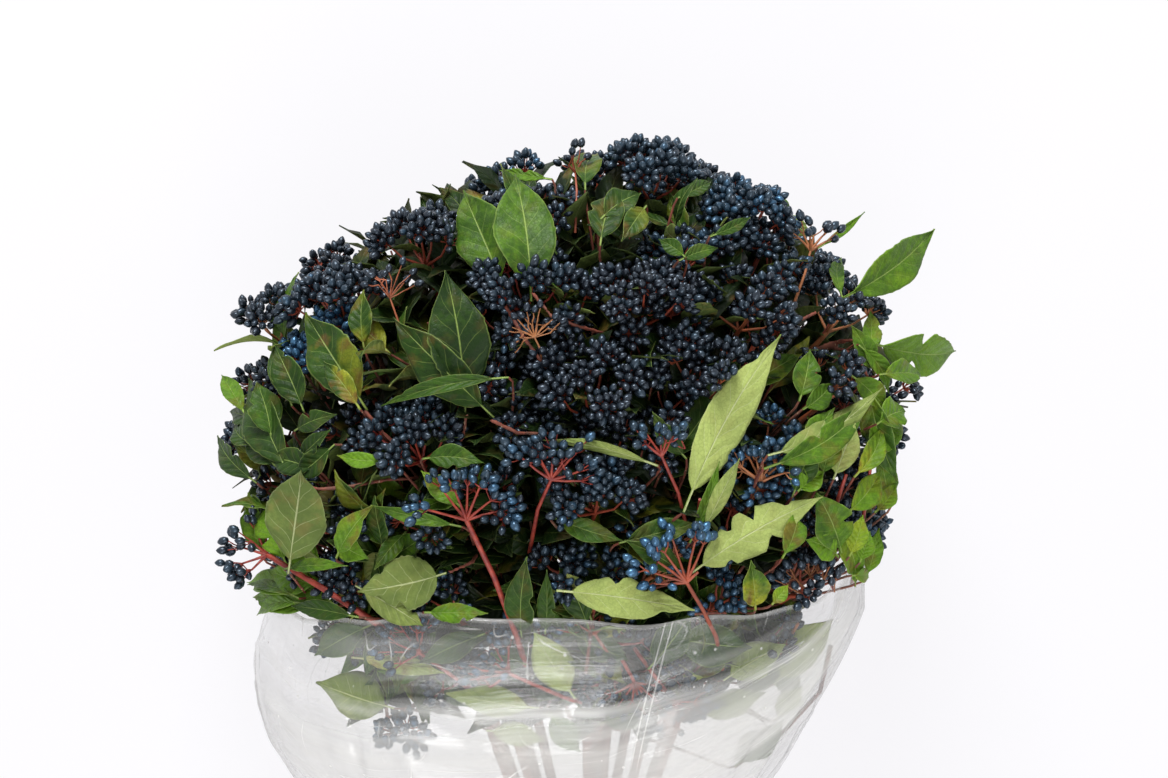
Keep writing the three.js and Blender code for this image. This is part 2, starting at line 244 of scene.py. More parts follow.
def veinPattern(add, place):  # shares of midrib, side veins, quilting between them and margin on a blade
    blade = add("UVMap", uv_map="blade")
    u, v, _ = add("SeparateXYZ", blade).node.outputs
    across = add("Math", add("Math", u, 0.5, operation="SUBTRACT"), operation="ABSOLUTE")
    reach = add("Math", add("Math", across, 0.8, operation="POWER"), 2.6, operation="MULTIPLY")
    phase = add("Math", add("Math", v, 6.5, operation="MULTIPLY"), reach, operation="SUBTRACT")
    wander = add("TexNoise", {"Vector": place, "Scale": 1000 / 14, "Detail": 2})
    phase = add("Math", phase, add("MapRange", wander, 0.3, 0.7, -0.12, 0.12), operation="ADD")
    stripe = add("Math", phase, 0.5, operation="PINGPONG")
    fading = add("MapRange", across, 0.47, 0.3)
    side = add("Math", add("MapRange", stripe, 0.035, 0.0), fading, operation="MULTIPLY")
    quilt = add("MapRange", stripe, 0.0, 0.5)
    return add("MapRange", across, 0.02, 0.006), side, quilt, add("MapRange", across, 0.472, 0.498)


def leafMaterial(name, look):
    material, shader, add = newMaterial(name)
    place = add("TexCoord", output="Object")
    midrib, side, quilt, margin = veinPattern(add, place)
    toneAndShade = add("Attribute", output="Fac", attribute_name="toneAndShade")
    age = add("Attribute", output="Fac", attribute_name="age")
    blotches = []  # from noise with blotches of so many millimetres, and its detail
    for size, detail in ((24, 3), (1.6, 4), (5, 4), (12, 5), (1.1, 2)):
        blotches.append(add("TexNoise", {"Vector": place, "Scale": 1000 / size, "Detail": detail}))
    cloud, fine, marble, patch, speck = blotches
    shade = add("Math", toneAndShade, add("MapRange", cloud, 0.3, 0.7, -0.14, 0.14), operation="ADD")
    shade = add("Math", shade, add("MapRange", marble, 0.3, 0.7, -0.13, 0.13), operation="ADD")
    worn = add("Math", age, add("MapRange", cloud, 0.42, 0.6, 0.25, 1.0), operation="MULTIPLY")
    bronze = add("MapRange", age, 0.0, 0.5, 0.15, 0.85)
    bronze = add("Math", add("MapRange", patch, 0.52, 0.66), bronze, operation="MULTIPLY")
    cells = {"Vector": place, "Scale": 1000 / look["net"]}
    net = add("MapRange", add("TexVoronoi", cells, feature="DISTANCE_TO_EDGE"), 0.14, 0.0)
    layers = [
        (add("MapRange", shade, 0.0, 0.5), look["middle"]),
        (add("MapRange", shade, 0.5, 1.0), look["bright"]),
        # painted shade: where toneAndShade falls below 0, leaves deep inside turn near black
        (add("MapRange", toneAndShade, -0.1, -0.7), look["paintedShade"]),
        (add("MapRange", worn, 0.15, 0.75), look["yellow"]),
        (bronze, look["bronze"]),
        (add("MapRange", speck, 0.69, 0.74, 0, 0.6), look["speck"]),
        (add("Math", net, 0.22, operation="MULTIPLY"), look["dark"]),
    ]
    shown = add("MapRange", toneAndShade, -0.4, 0.1, 0.1, 1.0)  # veins and edges fade on the leaves deep inside, under their painted shade
    for part, strength in ((side, look["sideVeins"]), (midrib, look["midrib"]), (margin, look["margin"])):
        share = add("Math", add("Math", part, strength, operation="MULTIPLY"), shown, operation="MULTIPLY")
        layers.append((share, look["vein"]))
    layers.append((add("MapRange", fine, 0.3, 0.7, 0.0, 0.2), look["dark"]))
    colour = look["dark"]
    for share, over in layers:
        colour = add("Mix", {0: share, 6: colour, 7: over}, output=2, data_type="RGBA")
    relief = add("Math", fine, 0.35, quilt, operation="MULTIPLY_ADD")
    for part, depth in ((net, 0.2), (midrib, 0.8)):
        relief = add("Math", relief, add("Math", part, depth, operation="MULTIPLY"), operation="SUBTRACT")
    fillInputs(shader, {
        "Base Color": colour, "Specular IOR Level": look["shine"],
        "Roughness": add("MapRange", fine, 0.3, 0.7, look["gloss"] - 0.06, look["gloss"] + 0.08),
        "Normal": add("Bump", {"Height": relief, "Strength": look["relief"], "Distance": 0.0008}),
    })
    return material


# Each look's paintedShade is painted shade, the near-black given to leaves deep inside the bunch.
upperLook = {  # leathery upper side: satin, deep green, with finer pale veins sunk in it
    "paintedShade": "#0a1007", "dark": "#1b2f10", "middle": "#3a591a", "bright": "#6d9722", "yellow": "#aaab2f",
    "bronze": "#6e4a2a", "speck": "#3d3018", "vein": "#9fb562", "sideVeins": 0.3, "midrib": 0.7,
    "margin": 0.45, "gloss": 0.4, "shine": 0.14, "relief": 0.5, "net": 2.6,
}
underLook = {  # matt pale underside with raised veins
    "paintedShade": "#12180c", "dark": "#5f7038", "middle": "#86964e", "bright": "#aab968", "yellow": "#b9b253",
    "bronze": "#84683f", "speck": "#665836", "vein": "#c4cb96", "sideVeins": 0.6, "midrib": 0.9,
    "margin": 0.3, "gloss": 0.6, "shine": 0.15, "relief": 0.6, "net": 2.6,
}


# Blown polypropylene film: clear, with sagging milky veils, sharp creases, a welded seam, vent holes and a
# painted highlight along its rim.
def filmMaterial():
    # rim is the strength of the painted highlight along the film's top rim
    film = {
        "haze": "#f3f2ef", "clearest": 0.02, "veil": 0.22, "low": 0.44, "crease": 0.35, "edge": 0.08,
        "rim": 0.25, "vents": 14, "sag": 0.34, "lean": 0.3, "seam": 0.2087, "seamSlant": 0.022,
        "seamWidth": 0.0036,
    }
    material, shader, add = newMaterial("clearFilm")
    place = add("TexCoord", output="Object")
    around, along, _ = add("SeparateXYZ", add("UVMap", uv_map="film")).node.outputs

    def facingUp(lean):  # 1 on the upper side, falling to 0 at the sides
        turn = add("Math", around, 2 * math.pi, -lean, operation="MULTIPLY_ADD")
        return add("Math", add("Math", turn, operation="SINE"), 0.0, operation="MAXIMUM")

    def pulled(height, alongCount, acrossCount, detail, offset):  # noise drawn out along or across the film
        across = add("Math", around, acrossCount, operation="MULTIPLY")
        spot = add("CombineXYZ", across, add("Math", height, alongCount, operation="MULTIPLY"), offset)
        return add("TexNoise", {"Vector": spot, "Scale": 1.0, "Detail": detail, "Distortion": 0.15})

    def creases(value, within):  # thin lines where a smooth noise crosses its middle
        off = add("Math", add("Math", value, 0.5, operation="SUBTRACT"), operation="ABSOLUTE")
        return add("Math", add("MapRange", off, 0.006, 0.0), within, operation="MULTIPLY")

    def clouds(size, low, high):  # patches of so many millimetres
        cloud = add("TexNoise", {"Vector": place, "Scale": 1000 / size, "Detail": 2})
        return add("MapRange", cloud, low, high)

    front = facingUp(0.0)
    hang = add("Math", facingUp(film["lean"]), film["sag"], along, operation="MULTIPLY_ADD")
    arcs = pulled(hang, 16, 4, 2, 1.5)  # these sag with the film, in arcs over the front
    ribs = pulled(along, 3, 30, 1.5, 4.2)
    crinkle = pulled(hang, 14, 22, 3, 8.1)
    veils = pulled(hang, 9, 3, 3, 12.4)

    seam = add("Math", along, -film["seamSlant"], film["seamSlant"] - film["seam"], operation="MULTIPLY_ADD")
    seam = add("Math", add("Math", around, seam, operation="ADD"), operation="ABSOLUTE")
    seam = add("Math", seam, 0.5 * film["seamWidth"], operation="SUBTRACT")
    seam = add("Math", seam, operation="ABSOLUTE")
    seam = add("MapRange", seam, 0.0006, 0.0001, 0.0, 0.9)
    lines = add("Math", seam, add("MapRange", along, 0.55, 0.62), operation="MULTIPLY")
    for crease in (creases(arcs, clouds(50, 0.44, 0.6)), creases(ribs, clouds(38, 0.52, 0.62))):
        lines = add("Math", lines, crease, operation="MAXIMUM")
    lines = add("Math", lines, add("MapRange", front, 0.1, 0.6, 0.2, 1.0), operation="MULTIPLY")

    wisps = add("MapRange", arcs, 0.55, 0.75, 0.0, 0.1)
    milk = add("Math", add("MapRange", veils, 0.48, 0.66, 0.0, film["veil"]), wisps, operation="ADD")
    milk = add("Math", milk, add("MapRange", along, 0.98, 0.8, 0.35, 1.0), operation="MULTIPLY")
    fringe = add("Math", hang, add("MapRange", veils, 0.3, 0.7, -0.13, 0.13), operation="ADD")
    low = add("MapRange", fringe, 1.06, 0.9, 0.0, film["low"])
    low = add("Math", low, add("MapRange", along, 0.42, 0.6, 0.4, 1.0), operation="MULTIPLY")
    milk = add("Math", milk, low, operation="ADD")
    seen = add("Math", milk, add("MapRange", front, 0.1, 0.6, 0.15, 1.0), operation="MULTIPLY")
    vents = add("TexVoronoi", {"Vector": place, "Scale": 1000 / film["vents"]})
    facing = add("LayerWeight", {"Blend": 0.3}, output="Facing")
    for part in (
        film["clearest"], add("Math", lines, film["crease"], operation="MULTIPLY"),
        add("MapRange", facing, 0.5, 1.0, 0.0, film["edge"]),
        # a painted highlight: a milky line along the top rim
        add("MapRange", along, 0.985, 0.995, 0.0, film["rim"]),
        add("MapRange", vents, 0.09, 0.06, 0.0, 0.35),
    ):
        seen = add("Math", seen, part, operation="ADD")
    shadow = add("LightPath", output="Is Shadow Ray")
    seen = add("Clamp", {"Value": seen, "Max": 0.9})
    seen = add("Math", seen, add("MapRange", shadow, 0, 1, 1, 0.25), operation="MULTIPLY")

    height = add("Math", crinkle, 0.5, add("Math", arcs, ribs, operation="ADD"), operation="MULTIPLY_ADD")
    dent = add("Bump", {"Height": height, "Strength": 0.5, "Distance": 0.006})
    fillInputs(shader, {"Base Color": film["haze"], "Roughness": 0.2, "Normal": dent})
    milky = add("MixShader", 0.2, shader.outputs[0], add("BsdfTranslucent", {"Color": film["haze"]}))
    gloss = add("BsdfGlossy", {"Roughness": 0.06, "Normal": dent})
    slant = add("LayerWeight", {"Blend": 0.3, "Normal": dent}, output="Facing")
    shine = add("Math", add("Math", slant, 4.0, operation="POWER"), 0.35, 0.03, operation="MULTIPLY_ADD")
    mirror = add("Math", shine, add("MapRange", shadow, 0, 1, 1, 0.1), operation="MULTIPLY")
    bare = add("MixShader", mirror, add("BsdfTransparent"), gloss)
    whole = add("MixShader", seen, bare, milky)
    fillInputs(material.node_tree.nodes["Material Output"], {"Surface": whole})
    return material


def plainMaterial(name, colour, roughness, blotch=None):  # one even colour, or blotches 6 mm wide
    material, shader, add = newMaterial(name)
    if blotch:
        cloud = add("TexNoise", {"Vector": add("TexCoord", output="Object"), "Scale": 1000 / 6, "Detail": 3})
        share = add("MapRange", cloud, 0.35, 0.65)
        colour = add("Mix", {0: share, 6: colour, 7: blotch}, output=2, data_type="RGBA")
    fillInputs(shader, {"Base Color": colour, "Roughness": roughness})
    return material


berrySkin = berrySkinMaterial()
youngStalk = youngStalkMaterial()
bark = barkMaterial()
upperSide = leafMaterial("leafUpperSide", upperLook)
underSide = leafMaterial("leafUnderside", underLook)
clearFilm = filmMaterial()
print("materials made")


def geometryTree(name, **inputs):  # a geometry tree with named inputs, and what adds nodes to it
    tree = bpy.data.node_groups.new(name, "GeometryNodeTree")
    for label, kind in {"Geometry": "Geometry", **inputs}.items():
        tree.interface.new_socket(label, in_out="INPUT", socket_type="NodeSocket" + kind)
    tree.interface.new_socket("Geometry", in_out="OUTPUT", socket_type="NodeSocketGeometry")
    add = partial(addNode, tree)
    return tree, add, add("NodeGroupInput").node.outputs


def berryTree():  # a berry on each point, along the point's axis
    tree, add, given = geometryTree("berriesOnPoints", Berry="Object", Skin="Material")
    named = "GeometryNodeInputNamedAttribute"
    axis = add(named, {"Name": "axis"}, output="Attribute", data_type="FLOAT_VECTOR")
    placed = add("GeometryNodeInstanceOnPoints", {
        "Points": given["Geometry"],
        "Instance": add("GeometryNodeObjectInfo", {"Object": given["Berry"]}, output="Geometry"),
        "Rotation": add("FunctionNodeAlignRotationToVector", {"Vector": axis}, axis="Z"),
        "Scale": add(named, {"Name": "size"}, output="Attribute", data_type="FLOAT"),
    })
    real = add("GeometryNodeRealizeInstances", {"Geometry": placed})
    skin = add("GeometryNodeSetMaterial", {"Geometry": real, "Material": given["Skin"]})
    add("NodeGroupOutput", {"Geometry": skin})
    return tree


def stalkTree():  # a tube along each line, as thick as its points say
    tree, add, given = geometryTree("stalksOnLines", Sides="Int", Bark="Material")
    ring = {"Resolution": given["Sides"], "Radius": 1.0}
    thickness = {"Name": "thickness"}
    tube = add("GeometryNodeCurveToMesh", {
        "Curve": add("GeometryNodeMeshToCurve", {"Mesh": given["Geometry"]}),
        "Profile Curve": add("GeometryNodeCurvePrimitiveCircle", ring, output="Curve"),
        "Scale": add("GeometryNodeInputNamedAttribute", thickness, output="Attribute", data_type="FLOAT"),
        "Fill Caps": True,
    })
    smooth = add("GeometryNodeSetShadeSmooth", {"Geometry": tube})
    real = add("GeometryNodeRealizeInstances", {"Geometry": smooth})
    skin = add("GeometryNodeSetMaterial", {"Geometry": real, "Material": given["Bark"]})
    add("NodeGroupOutput", {"Geometry": skin})
    return tree


def applyTree(name, mesh, tree, values):  # runs a geometry tree on a mesh and keeps the plain result
    source = addObject(name + "Source", mesh)
    modifier = source.modifiers.new("grow", "NODES")
    modifier.node_group = tree
    sockets = {s.name: s.identifier for s in tree.interface.items_tree if s.in_out == "INPUT"}
    for label, value in values.items():
        modifier[sockets[label]] = value
    return bakeObject(source, name)


# An egg on its end: rows of height, radius and darkness, from the stalk to the dark calyx tip. A berry
# looks for neighbours to keep clear of as far off as the last number says.
berry = {
    "rows": ((-3.5, 0, 0), (-2.9, 1.6, 0), (-1.0, 2.6, 0), (1.3, 2.4, 0), (3.1, 1.1, 0.15), (3.9, 0, 1)),
    "sides": 8, "radius": 2.75, "stalkEnd": 2.6, "lowest": 5.0, "firstLowest": 4.8, "neighbours": 6.4,
}


def seedBerry():  # the one berry that all the others are copies of
    sides = berry["sides"]
    bottom, *rows, top = berry["rows"]
    points = [(0, 0, bottom[0])]
    dark = [bottom[2]]
    for z, r, share in rows:
        points += [(r * math.cos(a), r * math.sin(a), z) for a in np.arange(sides) * 2 * math.pi / sides]
        dark += [share] * sides
    points.append((0, 0, top[0]))
    dark.append(top[2])

    def at(row, i):
        return 1 + row * sides + i % sides

    last = len(rows) - 1
    faces = [(0, at(0, i + 1), at(0, i)) for i in range(sides)]
    for row in range(last):
        faces += [(at(row, i), at(row, i + 1), at(row + 1, i + 1), at(row + 1, i)) for i in range(sides)]
    faces += [(at(last, i), at(last, i + 1), len(points) - 1) for i in range(sides)]
    mesh = bpy.data.meshes.new("seedBerry")
    mesh.from_pydata([tuple(0.001 * c for c in p) for p in points], [], faces)
    mesh.polygons.foreach_set("use_smooth", [True] * len(mesh.polygons))
    setAttribute(mesh, "calyx", dark)
    return addObject("seedBerry", mesh)


class Stalks:  # chains of points with a thickness, to be made into tubes
    def __init__(self):
        self.points = []
        self.thickness = []
        self.warmth = []
        self.lines = []

    def add(self, points, thickness, warmth=0.5):
        start, count = len(self.points), len(points)
        lowest = thickness[0] + 0.5
        self.points += [(p[0], p[1], min(max(p[2], lowest), head["highest"])) for p in points]
        even = np.linspace(0, 1, count)
        self.thickness += list(np.interp(even, np.linspace(0, 1, len(thickness)), thickness))
        self.warmth += [warmth] * count
        self.lines += [(start + i, start + i + 1) for i in range(count - 1)]

    def join(self, other):
        start = len(self.points)
        self.points += other.points
        self.thickness += other.thickness
        self.warmth += other.warmth
        self.lines += [(a + start, b + start) for a, b in other.lines]

    def dropWhere(self, hides):  # leaves out the lines of which an end hides something
        hidden = [hides(p) for p in self.points]
        self.lines = [(a, b) for a, b in self.lines if not (hidden[a] or hidden[b])]

    def build(self, name, sides, material):
        mesh = meshFrom(name, self.points, lines=self.lines)
        setAttribute(mesh, "thickness", np.array(self.thickness) * 0.001)
        setAttribute(mesh, "warmth", self.warmth)
        return applyTree(name, mesh, stalksOnLines, {"Sides": sides, "Bark": material})


berriesOnPoints = berryTree()
stalksOnLines = stalkTree()
berrySeed = seedBerry()


# Cymes: flat-topped heads whose rays end in small umbels of berries.
def clusterFrame(name):  # the place, axis, radius and foot of a cluster, from its CAD solid
    points = nodePoints(name)
    middle = points.mean(axis=0)
    axis = unit(middle - head["heart"])
    along = (points - middle) @ axis
    spread = np.linalg.norm(points - middle - np.outer(along, axis), axis=1)
    radius = float(np.percentile(spread, 88))
    foot = points[np.argsort(along)[:5]].mean(axis=0)
    wide = points[spread > 0.7 * radius].mean(axis=0)
    return foot + axis * float((wide - foot) @ axis), axis, radius, foot


def growCyme(centre, axis, r, foot, look, seed):  # a dense head: its umbels stand on a low dome
    local = np.random.default_rng(seed)
    first, second = sideways(axis)
    hub = centre - axis * (look["hub"] * r)
    umbels = max(3, round(0.85 * (r / 12) ** 2 * look["density"]))
    stalks = Stalks()
    stalks.add([foot, (foot + hub) / 2 + local.normal(0, 2.0, 3), hub], [1.7, 1.5], look["warmth"])
    places, axes, roots = [], [], []
    for i in range(umbels):
        far = math.sqrt((i + 0.5) / umbels) * look["spread"]
        turn = i * golden + local.normal(0, 0.12)
        rim = first * math.cos(turn) + second * math.sin(turn)
        dome = axis * (look["dome"] * r * (1 - far ** 2) - look["sunk"])
        node = centre + rim * far * r + dome + local.normal(0, 1.6, 3) * look["loose"]
        slope = far * look["slope"]
        lean = unit(rim * math.sin(slope) + axis * math.cos(slope))
        middle = hub + (node - hub) * 0.55 + rim * far * r * 0.1 - axis * 1.5
        stalks.add([hub, middle, node], [1.05, 0.7, 0.6], look["warmth"])
        count = max(6, round(look["berries"] * local.uniform(0.85, 1.12)))
        one, two = sideways(lean)
        spin = local.uniform(0, 6.28)
        tilts = math.radians(look["open"]) * np.sqrt((np.arange(count) + 0.5) / count)
        for k, tilt in enumerate(tilts):
            turn = spin + k * golden
            side = one * math.cos(turn) + two * math.sin(turn)
            out = unit(lean * math.cos(tilt) + side * math.sin(tilt))
            reach = local.uniform(*look["pedicels"]) * look["reach"]
            place = node + out * reach + local.normal(0, 0.7, 3)
            if place[2] < berry["firstLowest"]:
                place[2] = berry["firstLowest"] + local.uniform(0, 3)
            places.append(place)
            axes.append(unit(out + local.normal(0, 0.22, 3)))
            roots.append((node, lean * 1.2, look["warmth"]))
    sizes = local.normal(1.0, 0.09, len(places)).clip(0.72, 1.2) * look["size"]
    blooms = (look["bloom"] + local.normal(0, 0.13, len(places)) + local.normal(0, 0.05)).clip(0, 1)
    return {
        "places": np.array(places), "axes": np.array(axes), "sizes": sizes, "blooms": blooms,
        "stalks": stalks, "roots": roots,
    }


plainLook = {  # the hub's depth, the dome and its spread are shares of the head's radius
    "bloom": 0.14, "warmth": 0.4, "density": 1.2, "berries": 22, "loose": 1.0, "reach": 1.0, "size": 0.96,
    "open": 68, "tilt": 0.45, "hub": 0.6, "spread": 0.84, "dome": 0.42, "sunk": 7, "slope": 1.08,
    "pedicels": (7.5, 12.5),
}
clusterLooks = {  # what sets single cymes apart from the plain ones, by CAD number
    1: {"warmth": 0.75, "density": 0.85, "bloom": 0.12, "tilt": 0.5}, 4: {"bloom": 0.1},
    5: {"bloom": 0.26, "tilt": 0.5}, 6: {"bloom": 0.42},
    7: {"bloom": 0.14, "warmth": 0.15, "tilt": 0.7, "open": 60},
    9: {"warmth": 0.6, "density": 0.9, "open": 62, "berries": 18},
    10: {"warmth": 0.8, "density": 0.8, "open": 60, "tilt": 0.6, "berries": 16},
    11: {"bloom": 0.06, "berries": 22, "density": 1.15},
    12: {"warmth": 0.5, "open": 62, "density": 0.95, "berries": 19},
    13: {"bloom": 0.16, "warmth": 0.6, "density": 0.8, "open": 60, "tilt": 0.6, "berries": 16},
    14: {"bloom": 0.22, "warmth": 0.1, "tilt": 0.6, "open": 62},
    15: {"bloom": 0.6, "density": 0.8, "warmth": 0.6, "size": 0.88, "reach": 0.8, "open": 60},
    16: {"bloom": 0.26, "tilt": 0.5, "open": 62},
    17: {"density": 0.55, "berries": 9, "warmth": 0.05, "bloom": 0.3, "reach": 1.1},
    18: {"bloom": 0.7, "berries": 10, "warmth": 0.65, "density": 0.8, "reach": 1.15},
    19: {"berries": 10, "warmth": 0.1, "density": 0.8}, 20: {"berries": 12, "density": 0.8},
}

cymes = {}
for number in range(1, 33):
    node = f"berry_cluster_{number:02d}"
    centre, axis, radius, foot = clusterFrame(node)
    look = {**plainLook, **clusterLooks.get(number, {})}
    axis = unit(axis + np.array([0, look["tilt"], 0]))
    cymes[node[-2:]] = {**growCyme(centre, axis, radius, foot, look, 100 + number), "node": node}
print("cymes grown", sum(len(c["places"]) for c in cymes.values()), "berries")

extraCymes = [  # small heads between the big ones: x, y, radius, bloom
    (-183, 88, 20, 0.15), (-149, 26, 20, 0.3), (84, 17, 18, 0.7), (-84, 13, 18, 0.3), (-18, 252, 20, 0.2),
    (9, 35, 20, 0.5), (108, 91, 18, 0.6), (62, 226, 26, 0.35), (-20, 168, 24, 0.1), (-142, 160, 24, 0.12),
    (44, 110, 24, 0.15), (-60, 150, 24, 0.1), (120, 215, 22, 0.3), (88, 236, 22, 0.3), (112, 236, 20, 0.3),
    (-51, 183, 18, 0.15), (27, 187, 20, 0.08), (-7, 194, 20, 0.08), (41, 165, 20, 0.08), (62, 156, 18, 0.1),
    (50, 137, 20, 0.1), (-46, 132, 20, 0.08), (-28, 118, 18, 0.08), (107, 178, 20, 0.12),
    (18, 112, 20, 0.06), (-178, 34, 14, 0.1), (-160, 28, 16, 0.1), (-151, 182, 15, 0.7),
    (-150, 62, 18, 0.1), (-176, 164, 11, 0.8), (165, 120, 22, 0.1), (-100, 62, 22, 0.2), (90, 60, 20, 0.4),
    (150, 66, 20, 0.15), (-140, 118, 22, 0.15), (-8, 118, 22, 0.1), (60, 182, 20, 0.1), (-17, 36, 15, 0.3),
    (93, 246, 18, 0.4), (164, 88, 13, 0.15),
]
for index, (x, y, r, bloom) in enumerate(extraCymes):
    centre = onHead(x, y, -0.42 * r - 9)
    axis = unit(centre - head["heart"])
    foot = centre - axis * (0.62 * r + 30)
    look = {**plainLook, "bloom": bloom, "berries": 16}
    cymes[f"small{index:02d}"] = growCyme(centre, axis, r, foot, look, 300 + index)


def growOpenCyme(path, lean, look, seed):  # a sparse head: rays fan out from the end of a stalk
    local = np.random.default_rng(seed)
    hub = path[-1]
    lean = unit(np.asarray(lean, float))
    flat, lift = sorted(sideways(lean), key=lambda way: abs(way[2]))
    stalks = Stalks()
    stalks.add(path, [look["stem"], look["stem"] * 0.75], look["warmth"])
    places, axes, roots = [], [], []
    for i in range(look["rays"]):
        turn = math.radians(look["fan"]) * (2 * (i + 0.5) / look["rays"] - 1) + local.normal(0, 0.08)
        out = unit(lean * math.cos(turn) + flat * math.sin(turn) + lift * local.normal(0.1, 0.25))
        reach = look["length"] * local.uniform(0.75, 1.1)
        node = hub + out * reach
        middle = hub + out * reach * 0.5 + lift * local.normal(0, 1.5)
        stalks.add([hub, middle, node], [thick * look["ray"] for thick in (1.1, 0.75, 0.6)], look["warmth"])
        for _ in range(look["berries"]):
            away = unit(out + local.normal(0, 0.5, 3))
            places.append(node + away * local.uniform(7, 13))
            axes.append(unit(away + local.normal(0, 0.1, 3)))
            roots.append((node, out, look["warmth"]))
    sizes = local.normal(1.0, 0.07, len(places)).clip(0.8, 1.2) * look["size"]
    blooms = (look["bloom"] + local.normal(0, 0.1, len(places))).clip(0, 1)
    return {
        "places": np.array(places), "axes": np.array(axes), "sizes": sizes, "blooms": blooms,
        "stalks": stalks, "roots": roots,
    }


openLook = ("rays", "fan", "length", "berries", "bloom", "warmth", "stem", "size", "ray")
openHeads = [  # x, y and height over the head along the stalk, where it leans, and its openLook
    ([(-36, -26, -36), (-43, -2, -14), (-54, 30, 8), (-70, 64, 16)], (0.1, 1, 0.3),
     (7, 80, 24, 6, 0.6, 0.1, 2.0, 1.0, 1.0)),
    ([(84, -30, -36), (79, -8, -14), (70, 10, 10), (60, 27, 18)], (-0.4, 0.9, 0.3),
     (8, 75, 25, 5, 0.8, 0.45, 1.5, 1.1, 1.0)),
    ([(-100, -24, -36), (-124, -2, -12), (-160, 22, 8), (-194, 40, 8)], (-1, 0.35, 0.2),
     (6, 75, 16, 6, 0.15, 0.05, 2.2, 1.0, 1.0)),
    ([(84, 44, -44), (98, 70, -14), (105, 86, 2)], (0, 1, 0.2),
     (8, 75, 15, 6, 0.65, 0.8, 1.3, 1.0, 1.0)),
    ([(128, 194, -24), (134, 212, 2), (138, 226, 10)], (0.1, 1, 0.3),
     (6, 60, 12, 2, 0.2, 0.8, 0.9, 1.0, 1.0)),
    ([(-108, 170, -10), (-114, 188, 6), (-117, 196, 8)], (0.1, 1, 0.4),
     (9, 65, 11, 1, 0.1, 0.6, 0.7, 0.9, 0.5)),
    ([(-34, 40, -30), (-28, 70, 4), (-20, 88, 14)], (0.3, 1, 0.3),
     (8, 85, 20, 6, 0.4, 0.05, 1.3, 1.0, 1.0)),
    ([(116, -30, -50), (130, -2, -20), (139, 14, 2)], (0.1, 1, 0.3),
     (7, 85, 16, 6, 0.25, 0.8, 1.2, 1.0, 1.0)),
    ([(-6, 236, -20), (-5, 262, 2), (-6, 274, 4)], (0, 1, 0.2),
     (4, 55, 8, 1, 0.1, 0.5, 0.8, 0.9, 1.0)),
    ([(-24, 150, -14), (-27, 166, 4), (-30, 172, 8)], (-0.3, 1, 0.4),
     (15, 95, 9, 1, 0.1, 0.9, 0.7, 0.85, 0.5)),
    ([(62, 54, -20), (55, 80, 10), (45, 102, 16)], (-0.2, 1, 0.3),
     (5, 50, 11, 3, 0.5, 0.2, 1.2, 1.0, 1.0)),
    ([(66, 50, -20), (68, 76, 10), (66, 98, 14)], (0, 1, 0.3),
     (4, 50, 10, 2, 0.5, 0.2, 1.2, 1.0, 1.0)),
]
for index, (path, lean, values) in enumerate(openHeads):
    look = dict(zip(openLook, values))
    cymes[f"open{index:02d}"] = growOpenCyme([onHead(*p) for p in path], lean, look, 400 + index)

bareStalks = [  # stalks that stand out between the leaves
    [(166, 20, -40), (170, 70, 2), (174, 103, 12)], [(160, 10, -40), (171, 47, 6), (183, 62, 8)],
    [(172, 30, -30), (186, 78, 6), (192, 110, 4)], [(150, 60, -20), (153, 78, 10), (157, 90, 14)],
]
for path in bareStalks:
    cymes["open00"]["stalks"].add([onHead(*p) for p in path], [1.5, 1.0], 0.1)

sleeveHeads = [  # heads pressed under the film: x, y, radius, bloom
    (-108, -11, 17, 0.4), (-43, -14, 22, 0.6), (22, -10, 16, 0.4), (43, -34, 18, 0.5), (66, -50, 14, 0.5),
    (-112, -68, 9, 0.7), (118, -12, 15, 0.3), (-152, -8, 15, 0.4), (-78, -34, 15, 0.3), (4, -36, 15, 0.4),
]
openSleeveHeads = [  # stalk's foot x y, its hub x y, where it leans, and its openLook up to the warmth
    (2, -52, -46, -30, (-1, 0.5, 0.2), 6, 80, 18, 4, 0.6, 0.05),
    (14, -6, 30, -36, (0.2, -1, 0.2), 7, 85, 15, 6, 0.5, 0.1),
    (22, -30, 6, -6, (-0.4, 1, 0.2), 6, 80, 14, 4, 0.55, 0.5),
    (-60, -46, -100, -18, (-1, 0.7, 0.2), 6, 80, 15, 6, 0.4, 0.1),
    (30, -16, 54, -48, (0.6, -1, 0.2), 5, 75, 12, 6, 0.6, 0.1),
]
for index, (fx, fy, hx, hy, lean, *values) in enumerate(openSleeveHeads):
    path = [underFilm(fx, fy, 34), underFilm((fx + hx) / 2, (fy + hy) / 2, 18), underFilm(hx, hy, 17)]
    look = dict(zip(openLook, [*values, 1.4, 0.95, 1.0]))
    cymes[f"sprig{index:02d}"] = growOpenCyme(path, lean, look, 470 + index)
for index, (x, y, r, bloom) in enumerate(sleeveHeads):
    centre = underFilm(x, y, 0.42 * r + 20)
    axis = unit(unit(centre - head["heart"]) + np.array([0, 0.2, 0.6]))
    foot = centre - axis * (0.62 * r + 26)
    look = {**plainLook, "bloom": bloom, "berries": 13, "warmth": 0.05}
    cymes[f"sleeve{index:02d}"] = growCyme(centre, axis, r, foot, look, 450 + index)


def spaceOut(places, radii, rounds=6):  # pushes berries that overlap apart
    for _ in range(rounds):
        tree = KDTree(len(places))
        for i, p in enumerate(places):
            tree.insert(p, i)
        tree.balance()
        push = np.zeros_like(places)
        for i, p in enumerate(places):
            for _, j, distance in tree.find_range(p, berry["neighbours"]):
                want = radii[i] + radii[j]
                if j != i and distance < want:
                    push[i] += unit(places[i] - places[j] + 1e-4) * (want - distance) * 0.5
        places += push.clip(-2.5, 2.5) * 0.8
        places[:, 2] = places[:, 2].clip(berry["lowest"], head["highest"] - 4)
    return places


